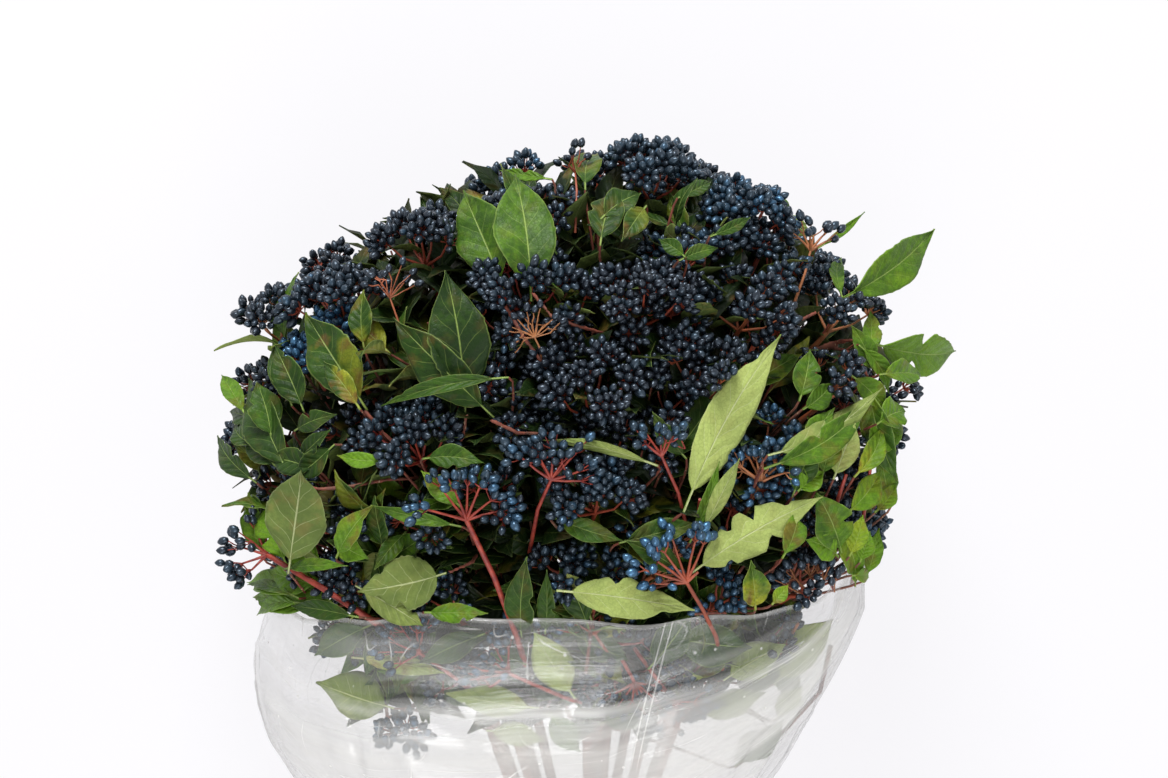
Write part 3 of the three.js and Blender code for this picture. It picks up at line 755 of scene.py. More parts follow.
settled = spaceOut(
    np.concatenate([c["places"] for c in cymes.values()]),
    np.concatenate([c["sizes"] for c in cymes.values()]) * berry["radius"],
)
start = 0
for cyme in cymes.values():
    count = len(cyme["places"])
    cyme["places"] = settled[start:start + count]
    start += count
print("berries settled", len(settled))


class Blades:  # leaf shells gathered into one mesh: upper side, underside and a thin edge all round
    def __init__(self):
        self.points = []
        self.faces = []
        self.kinds = []
        self.uvs = []
        self.tonesAndShades = []
        self.ages = []

    def add(self, top, bottom, uv, toneAndShade, age):
        rows, columns = top.shape[:2]
        size = rows * columns
        start = len(self.tonesAndShades)
        self.points += [top.reshape(-1, 3), bottom.reshape(-1, 3)]
        self.uvs += [uv.reshape(-1, 2)] * 2
        self.tonesAndShades += [toneAndShade] * (2 * size)
        self.ages += [age] * (2 * size)

        def at(i, j, side=0):
            return start + side * size + i * columns + j

        for i in range(rows - 1):
            for j in range(columns - 1):
                self.faces.append((at(i, j), at(i, j + 1), at(i + 1, j + 1), at(i + 1, j)))
                self.faces.append((at(i, j, 1), at(i + 1, j, 1), at(i + 1, j + 1, 1), at(i, j + 1, 1)))
                self.kinds += [0, 1]
        edge = [(0, j) for j in range(columns)] + [(i, columns - 1) for i in range(1, rows)]
        edge += [(rows - 1, j) for j in range(columns - 2, -1, -1)]
        edge += [(i, 0) for i in range(rows - 2, 0, -1)]
        for (i, j), (k, m) in zip(edge, edge[1:] + edge[:1]):
            self.faces.append((at(i, j), at(i, j, 1), at(k, m, 1), at(k, m)))
            self.kinds.append(0)

    def build(self, name):
        mesh = meshFrom(name, np.concatenate(self.points), self.faces)
        mesh.materials.append(upperSide)
        mesh.materials.append(underSide)
        mesh.polygons.foreach_set("material_index", self.kinds)
        setAttribute(mesh, "toneAndShade", self.tonesAndShades)
        setAttribute(mesh, "age", self.ages)
        corners = np.zeros(len(mesh.loops), np.int32)
        mesh.loops.foreach_get("vertex_index", corners)
        mesh.uv_layers.new(name="blade").data.foreach_set("uv", np.concatenate(self.uvs)[corners].ravel())
        return addObject(name, mesh)


plainLeaf = {
    "stalk": 0.12, "fold": 0.3, "arch": 0.05, "curl": 0.12, "twist": 0.3, "wave": 0.05, "bend": 0.02,
    "toneAndShade": 0.3, "age": 0.0, "bites": (), "worn": 0.0, "turned": False, "across": 9, "along": 15,
    "point": 0.82, "jag": 0.018, "thickness": 0.55,
}


# A leaf between two places. The normal is the side that the viewer sees.
def addLeaf(blades, base, tip, normal, width, seed, **changes):
    leaf = {**plainLeaf, **changes}
    local = np.random.default_rng(seed)
    length = float(np.linalg.norm(tip - base))
    y = unit(tip - base)
    z = unit(normal - y * (normal @ y)) * (-1 if leaf["turned"] else 1)
    x = np.cross(y, z)
    stalk, fold = leaf["stalk"], leaf["fold"]
    t = stalk + (1 - stalk) * np.linspace(0, 1, leaf["along"]) ** 0.92
    t = np.concatenate([np.linspace(0, stalk, 4)[:-1], t])
    onStalk = t <= stalk
    inBlade = ~onStalk[:, None]
    share = ((t - stalk) / (1 - stalk)).clip(0, 1)
    s = np.linspace(-1, 1, leaf["across"])

    half = 0.5 * width * np.sin(np.pi * share ** leaf["point"]) ** (0.8 + 0.5 * share)
    half = np.where(onStalk, 0.7, np.maximum(half, np.where(share > 0.9, 0.2, 0.7)))
    halves = np.tile(half[:, None], (1, len(s)))
    halves[:, s > 0] *= local.uniform(0.85, 1.08)
    bites = list(leaf["bites"])
    if local.uniform() < leaf["worn"]:
        side, place = local.choice([-1, 1]), local.uniform(0.3, 0.9)
        bites.append((side, place, local.uniform(0.03, 0.08), local.uniform(0.3, 0.8)))
    for side, place, reach, depth in bites:
        bite = 1 - depth * (1 - np.abs(share - place) / reach).clip(0) ** 0.7
        halves[:, s * side > 0] *= bite[:, None]
    jag = local.normal(0, leaf["jag"], halves.shape) * (np.abs(s) > 0.95) * (share[:, None] > 0.02)
    across = halves * s * (1 + jag)

    phase = local.uniform(0, 6.28, 2)
    waves = 2 * np.pi * share[:, None] * local.uniform(1.2, 2.6)
    ripple = np.sin(waves + np.where(s > 0, phase[0], phase[1]))
    lift = fold * np.abs(across) * inBlade
    lift = lift + leaf["wave"] * width * ripple * np.abs(s) ** 1.6 * inBlade
    lift = lift - fold * 0.35 * (across ** 2) / max(width, 1) * inBlade
    rise = leaf["arch"] * length * np.sin(np.pi * t ** 0.9)
    rise = (rise - leaf["curl"] * length * (share - 0.45).clip(0) ** 2)[:, None]
    sway = (leaf["bend"] * length * np.sin(np.pi * t))[:, None]
    turn = (leaf["twist"] * (share - 0.4))[:, None]
    flatX = across * np.cos(turn) - lift * np.sin(turn) + sway
    flatZ = across * np.sin(turn) + lift * np.cos(turn) + rise
    grid = base + flatX[..., None] * x + (t * length)[:, None, None] * y + flatZ[..., None] * z

    out = unit(np.cross(np.gradient(grid, axis=1), np.gradient(grid, axis=0)))
    thick = np.where(onStalk, leaf["thickness"], leaf["thickness"] - 0.3 * (share * 3).clip(0, 1))[:, None]
    thick = (thick * np.where(np.abs(s) > 0.95, 0.5, 1.0))[..., None]
    top, bottom = grid + out * thick, grid - out * thick
    upper, lower = (top, bottom) if z[2] > 0 else (bottom, top)
    if min(top[..., 2].min(), bottom[..., 2].min()) < 0.6:
        upper[..., 2] = np.maximum(upper[..., 2], 1.3)
        lower[..., 2] = np.maximum(lower[..., 2], 0.6)
    if max(top[..., 2].max(), bottom[..., 2].max()) > head["highest"]:
        upper[..., 2] = np.minimum(upper[..., 2], head["highest"])
        lower[..., 2] = np.minimum(lower[..., 2], head["highest"] - 0.6)
    u = 0.5 + np.where(onStalk, 0.02, 0.5)[:, None] * s
    v = np.tile(share[:, None], (1, len(s)))
    blades.add(top, bottom, np.stack([u, v], -1), leaf["toneAndShade"], leaf["age"])


stemCloud = np.concatenate([nodePoints(n) for n in nodes if n.startswith("stem_")])
stemTree = KDTree(len(stemCloud))
for i, p in enumerate(stemCloud):
    stemTree.insert(p, i)
stemTree.balance()
twigs = Stalks()


def linkTwig(base, direction, thickness=0.8, warmth=0.2):  # joins a leaf's foot to the wood near the heart
    nearest = np.array(stemTree.find(base + (head["heart"] - base) * 0.3)[0])
    first = base - unit(direction) * 7 - np.array([0, 0, 4.0])
    drop = min(38.0, 0.5 * max(0.0, base[2] - nearest[2]))
    middle = base * 0.6 + nearest * 0.4 - np.array([0, 0, drop])
    line = []
    for t in np.linspace(0, 1, 7):
        near = (1 - t) ** 3 * base + 3 * t * (1 - t) ** 2 * first
        place = near + 3 * t * t * (1 - t) * middle + t ** 3 * nearest
        line.append([place[0], place[1], max(place[2], 2.5)])
    twigs.add(line, [thickness * 0.8, thickness * 1.3], warmth)


cadLeafLooks = {  # what sets each CAD leaf apart; a bite is its side, place, reach and depth
    1: {"toneAndShade": 0.58, "arch": 0.03, "fold": 0.25, "sink": 12},
    2: {"toneAndShade": 0.58, "fold": 0.22, "curl": 0.1, "sink": 12}, 3: {"toneAndShade": 0.02, "fold": 0.16, "sink": 8},
    4: {"toneAndShade": 0.12, "age": 0.15, "fold": 0.2, "sink": 8},
    5: {"toneAndShade": 0.3, "age": 0.35, "twist": 0.6, "sink": 6},
    6: {"toneAndShade": 0.2, "bites": ((1, 0.7, 0.1, 0.4),)},
    7: {"toneAndShade": 0.25, "turned": True, "bites": ((1, 0.55, 0.08, 0.4), (1, 0.8, 0.06, 0.4),
        (-1, 0.7, 0.05, 0.3))},
    8: {"toneAndShade": 0.78, "fold": 0.2, "curl": 0.05},
    9: {"toneAndShade": 0.95, "bites": ((1, 0.35, 0.07, 0.7), (-1, 0.4, 0.05, 0.6))},
    10: {"toneAndShade": 0.55, "age": 0.25, "inward": True},
    11: {"toneAndShade": 0.02, "age": 0.15, "turned": True, "fold": 0.12, "curl": 0.2},
    12: {"toneAndShade": 1.1, "turned": True, "fold": 0.14, "twist": 0.4, "bites": ((1, 0.82, 0.04, 0.4),
        (-1, 0.3, 0.05, 0.2))},
    13: {"toneAndShade": 1.0, "turned": True, "bites": ((1, 0.3, 0.05, 0.5), (1, 0.5, 0.05, 0.6),
        (-1, 0.55, 0.06, 0.5), (1, 0.75, 0.05, 0.5), (-1, 0.2, 0.04, 0.4))},
    14: {"toneAndShade": 1.0, "turned": True, "wave": 0.09, "inward": True, "bites": ((1, 0.35, 0.05, 0.4),
        (1, 0.6, 0.05, 0.5), (-1, 0.75, 0.06, 0.4))},
}
heroShells = []  # the leaves with a place of their own, which berries and shoots leave free


def placeCadLeaves():  # a blade between the ends of each CAD leaf, foot towards the heart
    for node in sorted(n for n in nodes if "leaf_" in n):
        number = int(node[-2:])
        points = nodePoints(node)
        middle = points.mean(axis=0)
        normal, across, along = np.linalg.eigh(np.cov((points - middle).T))[1].T
        reach = (points - middle) @ along
        look = {"across": 15, "along": 33, **cadLeafLooks.get(number, {})}
        ends = [middle + along * reach.min(), middle + along * reach.max()]
        far = np.linalg.norm(ends[0] - head["heart"]) > np.linalg.norm(ends[1] - head["heart"])
        if far != look.pop("inward", False):
            ends.reverse()
        base, tip = ends
        side = (points - middle) @ across
        if normal[2] < 0:
            normal = -normal
        base = base - normal * look.pop("sink", 0)
        blades = Blades()
        addLeaf(blades, base, tip, normal, side.max() - side.min(), 500 + number, **look)
        heroShells.append(blades)
        settle(blades.build("blade" + node[-3:]), "leaf", node)


placeCadLeaves()

handLeaves = [  # foot x y, tip x y, width, height over the head at foot and tip, toneAndShade, age, extras
    (-190, 110, -200, 146, 22, 6, 14, 0.45, 0.1), (-208, 125, -226, 151, 12, 4, 6, 0.9, 0.2),
    (-200, 84, -230, 113, 15, 8, 2, 0.2, 0.0, {"bites": ((1, 0.4, 0.06, 0.6), (1, 0.7, 0.05, 0.5))}),
    (-200, 106, -217, 120, 12, 8, 6, 0.25, 0.0), (-186, 94, -209, 109, 13, 10, 10, 0.2, 0.1),
    (-175, 116, -149, 126, 13, 8, 14, 0.2, 0.0), (-172, 100, -153, 117, 12, 6, 12, 0.25, 0.0),
    (-117, 99, -148, 102, 10, 16, 18, 0.95, 0.25),
    (-96, 100, -60, 98, 15, 14, 18, 0.5, 0.0, {"bites": ((1, 0.5, 0.07, 0.4), (1, 0.8, 0.05, 0.4))}),
    (-73, 71, -97, 93, 14, 12, 16, 0.9, 0.3), (-73, 60, -128, 72, 9, 14, 16, 0.6, 0.0, {"fold": 0.5}),
    (-149, 40, -127, 72, 16, 12, 18, 0.85, 0.35, {"fold": 0.45}), (-197, 38, -206, 78, 16, 8, 12, 0.8, 0.1),
    (-182, 32, -143, 36, 9, 12, 16, 0.6, 0.0), (-174, 14, -211, 21, 8, 8, 4, 0.6, 0.1),
    (-172, 11, -206, 1, 11, 6, 2, 0.9, 0.1), (-136, 4, -180, 9, 12, 8, 10, 0.35, 0.0),
    (-138, 23, -96, 0, 21, 2, 8, 0.5, 0.0, {"turned": True}),
    (-96, 8, -58, 8, 12, 6, 8, 0.85, 0.2, {"bites": ((1, 0.6, 0.06, 0.6),)}),
    (-38, -8, -35, 41, 19, -22, 22, 0.3, 0.1), (-24, -6, -23, 33, 12, -22, 12, 0.3, 0.0),
    (37, 252, 22, 230, 15, 8, 12, 0.3, 0.35), (9, 243, 34, 260, 19, 10, 16, 0.25, 0.15),
    (56, 257, 78, 269, 10, 14, 16, 0.4, 0.0), (75, 233, 101, 246, 8, 14, 18, 0.5, 0.1),
    (60, 220, 44, 231, 10, 14, 16, 0.5, 0.0), (56, 218, 80, 226, 10, 12, 14, 0.4, 0.0),
    (127, 247, 116, 262, 10, 6, 8, 0.5, 0.0), (119, 247, 141, 235, 11, 10, 8, 0.6, 0.0, {"turned": True}),
    (143, 228, 172, 250, 5, 4, 2, 0.7, 0.0, {"curl": -0.3, "fold": 0.5}),
    (157, 196, 159, 224, 10, 8, 12, 0.6, 0.0), (166, 168, 186, 138, 10, 12, 10, 0.7, 0.1, {"fold": 0.5}),
    (155, 42, 139, 79, 23, 4, 14, 0.6, 0.15), (160, 40, 168, 65, 13, 10, 14, 0.9, 0.35),
    (167, 36, 173, 55, 10, 8, 10, 1.0, 0.1), (153, 40, 133, 51, 15, 8, 10, 0.85, 0.1),
    (162, 28, 174, 26, 8, 8, 4, 0.9, 0.3), (102, 9, 99, 39, 19, 6, 14, 0.6, 0.7, {"fold": 0.6}),
    (112, 12, 122, 24, 9, 8, 10, 0.95, 0.4),
    (149, 87, 162, 121, 17, 12, 20, 0.9, 0.1, {"turned": True, "twist": 0.6}),
    (142, 88, 151, 120, 15, 6, 12, 0.5, 0.35), (162, 88, 181, 119, 13, 12, 16, 0.7, 0.7, {"fold": 0.5}),
    (124, 77, 137, 111, 15, 6, 12, 0.25, 0.0), (127, 80, 143, 92, 15, 10, 14, 1.0, 0.1, {"fold": 0.5}),
    (130, 129, 149, 145, 13, 6, 12, 0.45, 0.0),
    (69, 55, 91, 101, 11, 10, 24, 0.7, 0.0, {"turned": True, "fold": 0.4}),
    (62, 50, 80, 98, 9, 4, 10, 0.75, 0.0, {"fold": 0.5}),
    (43, 96, -25, 112, 7, 14, 20, 0.5, 0.0, {"turned": True, "fold": 0.7}),
    (108, 102, 178, 141, 15, 22, 28, 0.35, 0.0, {"turned": True, "fold": 0.5}),
    (106, 94, 172, 134, 16, 16, 18, 0.55, 0.1, {"fold": 0.4}),
    (-45, 148, -122, 132, 10, 14, 16, 0.4, 0.0, {"fold": 0.6}),
    (-169, 127, -189, 168, 22, 4, 18, 0.15, 0.1), (0, 262, 8, 289, 17, 4, 6, 0.4, 0.25),
    (-20, 269, -53, 276, 8, 4, 6, 0.7, 0.0), (9, 227, 20, 262, 22, 6, 14, 0.15, 0.2),
    (-132, 165, -133, 201, 15, 6, 18, 0.3, 0.4), (-134, 129, -157, 158, 15, 8, 14, 0.35, 0.6),
    (-177, 131, -190, 170, 14, 6, 14, 0.25, 0.05), (46, 92, 96, 166, 22, -18, -14, 0.4, 0.0, {"fold": 0.2}),
    (60, 100, 40, 128, 13, 4, 8, 0.2, 0.0), (128, 134, 135, 165, 15, 6, 14, 0.45, 0.0),
    (150, 60, 166, 20, 16, 2, 2, 0.75, 0.2), (176, 150, 162, 180, 15, 6, 12, 0.7, 0.1),
    (172, 158, 176, 190, 12, 4, 8, 0.8, 0.2), (188, 70, 180, 108, 14, 2, 4, 0.6, 0.3),
    (118, 40, 128, 72, 13, 6, 12, 0.8, 0.3), (20, 50, 68, 62, 16, 6, 10, 0.4, 0.1),
    (60, 30, 24, 52, 15, 6, 12, 0.4, 0.0), (-20, 66, 22, 52, 13, 6, 10, 0.5, 0.1),
    (158, 66, 180, 92, 15, 6, 10, 0.8, 0.3), (168, 96, 196, 124, 17, 14, 18, 0.7, 0.2),
    (176, 120, 196, 128, 18, 20, 24, 0.65, 0.1), (178, 150, 208, 150, 15, 22, 26, 0.7, 0.1),
    (160, 150, 184, 128, 14, 12, 16, 0.6, 0.1), (134, 100, 150, 130, 14, 6, 12, 0.6, 0.1),
    (172, 26, 180, 56, 11, 0, 2, 0.8, 0.2), (176, 66, 190, 84, 11, 8, 10, 0.9, 0.2),
    (-196, 60, -208, 76, 18, 4, 2, 0.4, 0.1), (-190, 120, -222, 128, 15, 2, 4, 0.3, 0.1),
    (-160, 92, -192, 100, 18, 8, 10, 0.2, 0.0), (-150, 108, -176, 88, 16, 6, 10, 0.25, 0.1),
    (-182, 34, -191, 76, 24, -4, 0, 0.95, 0.1), (-168, 4, -208, 12, 18, 2, 0, 0.95, 0.15),
    (-160, 22, -196, 30, 20, -6, -2, 0.8, 0.1), (-150, 52, -130, 40, 16, 6, 10, 0.9, 0.3),
    (-150, 10, -192, 24, 22, -4, -4, 0.8, 0.1), (-158, 32, -186, 48, 18, -8, -8, 0.9, 0.0),
    (-170, 16, -212, 22, 20, -4, -6, 1.0, 0.15),
]
sleeveLeaves = [  # leaves pressed under the film: foot x y, tip x y, width, toneAndShade, age, turned over
    (-6, -46, -31, -4, 25, 0.8, 0.1, True), (-116, -53, -164, -38, 32, 0.3, 0.0, True),
    (-28, -52, -84, -42, 20, 0.6, 0.2, True), (-22, -54, -3, -80, 18, 0.7, 0.0, False),
    (8, -62, 42, -50, 18, 0.4, 0.0, False), (116, -40, 152, 0, 30, 0.8, 0.1, True),
    (84, -36, 122, -14, 26, 0.5, 0.0, True), (50, -8, 102, -16, 26, 0.3, 0.0, False),
    (38, -28, 64, 6, 24, 0.25, 0.0, False), (-142, -22, -84, -30, 14, 0.9, 0.5, True),
    (93, -93, 124, -64, 19, 0.45, 0.1, False), (-60, -6, -100, -24, 18, 0.3, 0.0, False),
    (-10, -4, 26, -22, 20, 0.25, 0.0, False), (70, -60, 110, -44, 20, 0.5, 0.0, True),
    (-130, -2, -166, -22, 20, 0.4, 0.1, False), (-60, -66, -24, -72, 16, 0.7, 0.1, True),
    (112, -68, 92, -90, 15, 0.4, 0.1, False), (118, -64, 134, -42, 17, 0.9, 0.0, True),
]
handBlades = Blades()
for i, (bx, by, tx, ty, width, toneAndShade, age, turned) in enumerate(sleeveLeaves):
    base, tip = underFilm(bx, by, 20), underFilm(tx, ty, 15)
    lean = np.array([(tx + 20) * 0.003, -0.1, 1.0]) + rng.normal(0, 0.1, 3)
    look = {"toneAndShade": toneAndShade, "age": age, "turned": turned, "arch": 0.0, "curl": 0.1}
    addLeaf(handBlades, base, tip, lean, width, 650 + i, **look)
    linkTwig(base, tip - base)
path = [underFilm(93, -94, 22), underFilm(124, -72, 16), underFilm(147, -48, 14), underFilm(152, -18, 16)]
twigs.add(path, [0.9, 1.3, 1.4, 1.5], 0.2)
for i, (bx, by, tx, ty, width, low, high, toneAndShade, age, *extras) in enumerate(handLeaves):
    base, tip = onHead(bx, by, low), onHead(tx, ty, high)
    lean = np.array([(tx - head["x"]) * 0.0012, 0.1, 1.0]) + rng.normal(0, 0.16, 3)
    if tx > 125 and ty < 170:  # the leaves on the right are younger, broader and more yellow, and their raised tone is partly painted light from the right side
        width, toneAndShade, age = width * 1.15, toneAndShade + 0.15, age + 0.08
    look = {"toneAndShade": toneAndShade, "age": age, "across": 11, "along": 23, "worn": 0.45, "bend": rng.normal(0, 0.035)}
    for extra in extras:
        look.update(extra)
    addLeaf(handBlades, base, tip, lean, width, 700 + i, **look)
    linkTwig(base, tip - base)
settle(handBlades.build("placed_leaves"), "leaf")
heroShells.append(handBlades)
print("placed leaves built")


def shellTree(shells):  # what finds where leaves are hit
    points, faces = [], []
    for shell in shells:
        start = len(points)
        points += [p for block in shell.points for p in block.tolist()]
        faces += [tuple(i + start for i in face) for face in shell.faces]
    return BVHTree.FromPolygons(points, faces)


placedTree = shellTree(heroShells)
clearTree = shellTree([heroShells[n - 1] for n in (3, 4, 5, 7, 11, 12, 13, 14)])
pairTree = shellTree(heroShells[:2])  # the pale leaves at the top, which berries cover at the feet only


def crossesPlaced(base, tip, width):  # whether a leaf between two places would go through a placed one
    across = unit(np.cross(unit(tip - base), [0.0, 0.0, 1.0])) * width * 0.4
    middle = (base + tip) / 2
    left, right = middle + across, middle - across
    for start, end in ((base, tip), (base, left), (base, right), (left, tip), (right, tip)):
        way = end - start
        if placedTree.ray_cast(Vector(start), Vector(unit(way)), float(np.linalg.norm(way)) + 2)[0]:
            return True
    return False


def hidesLeaf(place):  # whether something at a place would lie over a leaf that shows whole
    down = (Vector(place), Vector((0, 0, -1)), 45)
    if clearTree.ray_cast(*down)[0]:
        return True
    return place[1] > 222 and pairTree.ray_cast(*down)[0] is not None


def outsideFilm(place):  # whether a place is below the sleeve's rim but not under the film
    x, y, z = place
    side = min(1, max(0, (x - sleeve["x"]) / sleeve["rimHalfWidth"]))
    return y < sleeve["rimY"] + sleeve["rimRise"] * side ** 10 + 2 and z > filmHeight(x, y) - 9


def inTheWay(place):  # whether a berry at a place would touch or hide a leaf, or stand out of the film
    return placedTree.find_nearest(Vector(place), 3.0)[0] or hidesLeaf(place) or outsideFilm(place)


def buildBerries(name, parts):
    joined = {key: np.concatenate([c[key] for c in parts]) for key in ("places", "axes", "sizes", "blooms")}
    mesh = meshFrom(name, joined["places"])
    setAttribute(mesh, "axis", joined["axes"], "FLOAT_VECTOR")
    setAttribute(mesh, "size", joined["sizes"])
    setAttribute(mesh, "bloom", joined["blooms"])
    return applyTree(name, mesh, berriesOnPoints, {"Berry": berrySeed, "Skin": berrySkin})


def buildHeads(label, parts, raySides):  # the rays of some cymes as one piece, their pedicels as another
    rays, pedicels = Stalks(), Stalks()
    for c in parts:
        rays.join(c["stalks"])
        for place, axis, (node, sag, warmth) in zip(c["places"], c["axes"], c["roots"]):
            path = [node, (node + place) / 2 - sag, place - axis * berry["stalkEnd"]]
            pedicels.add(path, [0.6, 0.5, 0.44], warmth)
    settle(rays.build(label + "_head_rays", raySides, youngStalk), "bark")
    settle(pedicels.build(label + "_head_pedicels", 3, youngStalk), "bark")


dropped = 0
for number, cyme in cymes.items():
    keep = []
    for i, place in enumerate(cyme["places"]):
        if not (inTheWay(place) or hidesLeaf(cyme["roots"][i][0])):
            keep.append(i)
    dropped += len(cyme["places"]) - len(keep)
    for key in ("places", "axes", "sizes", "blooms"):
        cyme[key] = cyme[key][keep]
    cyme["roots"] = [cyme["roots"][i] for i in keep]
    cyme["stalks"].dropWhere(lambda p: hidesLeaf(p) or outsideFilm(p))
    if "node" in cyme:
        settle(buildBerries(f"berries_{number}", [cyme]), "berry", cyme["node"])
large = [c for c in cymes.values() if "node" in c]
small = [c for c in cymes.values() if "node" not in c]
settle(buildBerries("small_berry_heads", small), "berry")
buildHeads("large", large, 6)
buildHeads("small", small, 6)
print("berries and stalks built,", dropped, "berries left out over leaves")


# A leafy side twig with its leaves in pairs, each pair turned a quarter from the last.
def growShoot(blades, base, tip, size, toneAndShade, age, seed, pairs=3, across=7, along=10):
    local = np.random.default_rng(seed)
    y = unit(tip - base)
    one, two = sideways(y)
    spin = local.uniform(0, math.pi)
    for k in range(pairs):
        place = base + (tip - base) * (k + 0.6) / pairs
        turn = spin + k * math.pi / 2
        side = one * math.cos(turn) + two * math.sin(turn)
        length = size * local.uniform(0.8, 1.15) * (1 - 0.18 * (k / pairs))
        for sign in (-1, 1):
            out = unit(side * sign * math.sin(0.85) + y * math.cos(0.85) + local.normal(0, 0.16, 3))
            end = place + out * length
            end[2] = max(end[2], 4 + local.uniform(0, 6))
            place[2] = max(place[2], 3)
            if end[1] < 25 and filmHeight(end[0], end[1]) > 0:
                end[2] = min(end[2], max(6, filmHeight(end[0], end[1]) - local.uniform(12, 22)))
            upper = unit(y - out * (y @ out) + local.normal(0, 0.2, 3))
            width = length * local.uniform(0.34, 0.46)
            if crossesPlaced(place, end, width) or (end[0] > 186 and end[1] < 125):
                continue
            leafSeed = int(local.integers(1e6))
            look = {
                "toneAndShade": float(np.clip(toneAndShade + local.normal(0, 0.15), -1, 1)),
                "age": float(max(0, age + local.normal(0, 0.2))), "across": across, "along": along,
                "twist": local.normal(0, 0.5), "fold": local.uniform(0.1, 0.4),
                "curl": local.uniform(0.0, 0.5), "arch": local.normal(0.04, 0.04),
            }
            addLeaf(blades, place, end, upper, width, leafSeed, **look)
    twigs.add([base - y * 6, (base + tip) / 2, tip], [1.2, 0.9, 0.6], 0.2)
    linkTwig(base - y * 4, y, 1.2)


leafySpots = (  # where the bunch shows more leaves than berries: x, y, reach, weight
    (-190, 90, 60, 1.0), (-120, 20, 70, 1.0), (0, 10, 70, 0.9), (90, 20, 60, 0.9), (180, 60, 60, 1.0),
    (10, 250, 40, 0.6), (200, 180, 50, 0.7),
)


def leafiness(x, y):  # the chance of a leafy shoot at a place
    return max(w * math.exp(-((x - a) ** 2 + (y - b) ** 2) / (2 * s * s)) for a, b, s, w in leafySpots)


shoots = {"attempts": 400, "most": 26, "length": 48, "edge": 0.93, "halfHeight": 175}
shootBlades = Blades()
shootCount = 0
for attempt in range(shoots["attempts"]):
    x, y = rng.uniform(-205, 190), rng.uniform(-30, 270)
    across, along = (x - head["x"]) / head["halfWidth"], (y - head["y"]) / shoots["halfHeight"]
    if across ** 2 + along ** 2 > shoots["edge"]:
        continue
    if rng.uniform() > leafiness(x, y) or shootCount >= shoots["most"]:
        continue
    tip = onHead(x, y, rng.uniform(-30, -6))
    base = tip - unit(unit(tip - head["heart"]) + rng.normal(0, 0.35, 3)) * shoots["length"]
    size, toneAndShade, age = rng.uniform(38, 56), rng.uniform(0.2, 0.6), rng.uniform(0, 0.25)
    growShoot(shootBlades, base, tip, size, toneAndShade, age, 900 + attempt)
    shootCount += 1
settle(shootBlades.build("shoot_leaves"), "leaf")
print("shoots grown", shootCount)


filling = {  # the inside, dark from shade and from the painted shade on its leaves, and the sides and back of the bunch
    "spots": 340, "leaves": 0.8, "heads": 0.93, "core": 0.55, "headRadius": 21, "behindFilm": 90, "paintedShade": 55,
}


def eggPoint(direction, scale):  # a place on the scaled egg in a direction from its middle
    toEnd = head["toTop"] if direction[1] > 0 else head["toTie"] * 0.62
    radii = np.array([head["halfWidth"], toEnd, head["halfHeight"]])
    middle = np.array([head["x"], head["y"], head["z"]])
    return np.maximum(middle + direction / np.linalg.norm(direction / radii) * scale, [-1e3, -1e3, 5.0])


inner = {label: Blades() for label in ("upper", "lower", "core", "sleeve")}
lowHeads = []
for i in range(filling["spots"]):
    height = 1 - 2 * (i + 0.5) / filling["spots"]
    turn = i * golden
    ring = math.sqrt(1 - height ** 2)
    direction = np.array([ring * math.cos(turn), height, ring * math.sin(turn)])
    if direction[1] < -0.75:
        continue
    place = eggPoint(direction, filling["leaves"])
    outward = unit(place - head["heart"])
    ends = (place - outward * 30, place + outward * 8)
    blades = inner["upper" if direction[2] > 0 else "lower"]
    # these inner leaves get some painted shade (toneAndShade -0.3)
    growShoot(blades, *ends, 48, -0.3, 0.0, 2000 + i, pairs=2, across=3, along=6)
    if direction[2] < 0.25 and i % 4 == 0:
        spot = eggPoint(direction, filling["heads"])
        out = unit(spot - head["heart"])
        look = {**plainLook, "bloom": float(rng.uniform(0.05, 0.5)), "berries": 14}
        lowHeads.append(growCyme(spot, out, filling["headRadius"], spot - out * 40, look, 3000 + i))
    if i % 3 == 0:
        place = eggPoint(direction, filling["core"])
        ends = (place - outward * 20, place)
        # the core leaves get strong painted shade (toneAndShade -0.9)
        growShoot(inner["core"], *ends, 76, -0.9, 0.0, 2400 + i, pairs=2, across=3, along=5)
for i in range(filling["behindFilm"]):  # leaves deep in the mouth of the sleeve, darkened with painted shade, pale ones above
    paintedShade = i < filling["paintedShade"]
    x, y = rng.uniform(-135, 115), rng.uniform(-48, 30)
    place = underFilm(x, y, rng.uniform(44, 80) if paintedShade else rng.uniform(30, 48))
    outward = unit(np.array([rng.normal(0, 0.5), rng.normal(-0.1, 0.5), 1.0]))
    ends = (place - outward * 26, place)
    # painted shade on the deep leaves in the sleeve's mouth
    toneAndShade = -0.45 if paintedShade else 0.35
    growShoot(inner["sleeve"], *ends, 42, toneAndShade, 0.05, 2600 + i, pairs=2, across=5, along=7)
for label, blades in inner.items():
    settle(blades.build(label + "_inner_leaves"), "leaf")
settle(buildBerries("low_berry_heads", lowHeads), "berry")
buildHeads("low", lowHeads, 5)
settle(twigs.build("side_twigs", 6, bark), "bark")
print("filling built")


wood = {"voxel": 0.0014, "smoothing": 0.6, "rounds": 4, "kept": 0.4, "cutDepth": 0.0012}  # lengths in metres
cutWood = plainMaterial("freshCutWood", "#d9c7a2", 0.8, "#b99f74")  # matt pale end grain, a little blotched


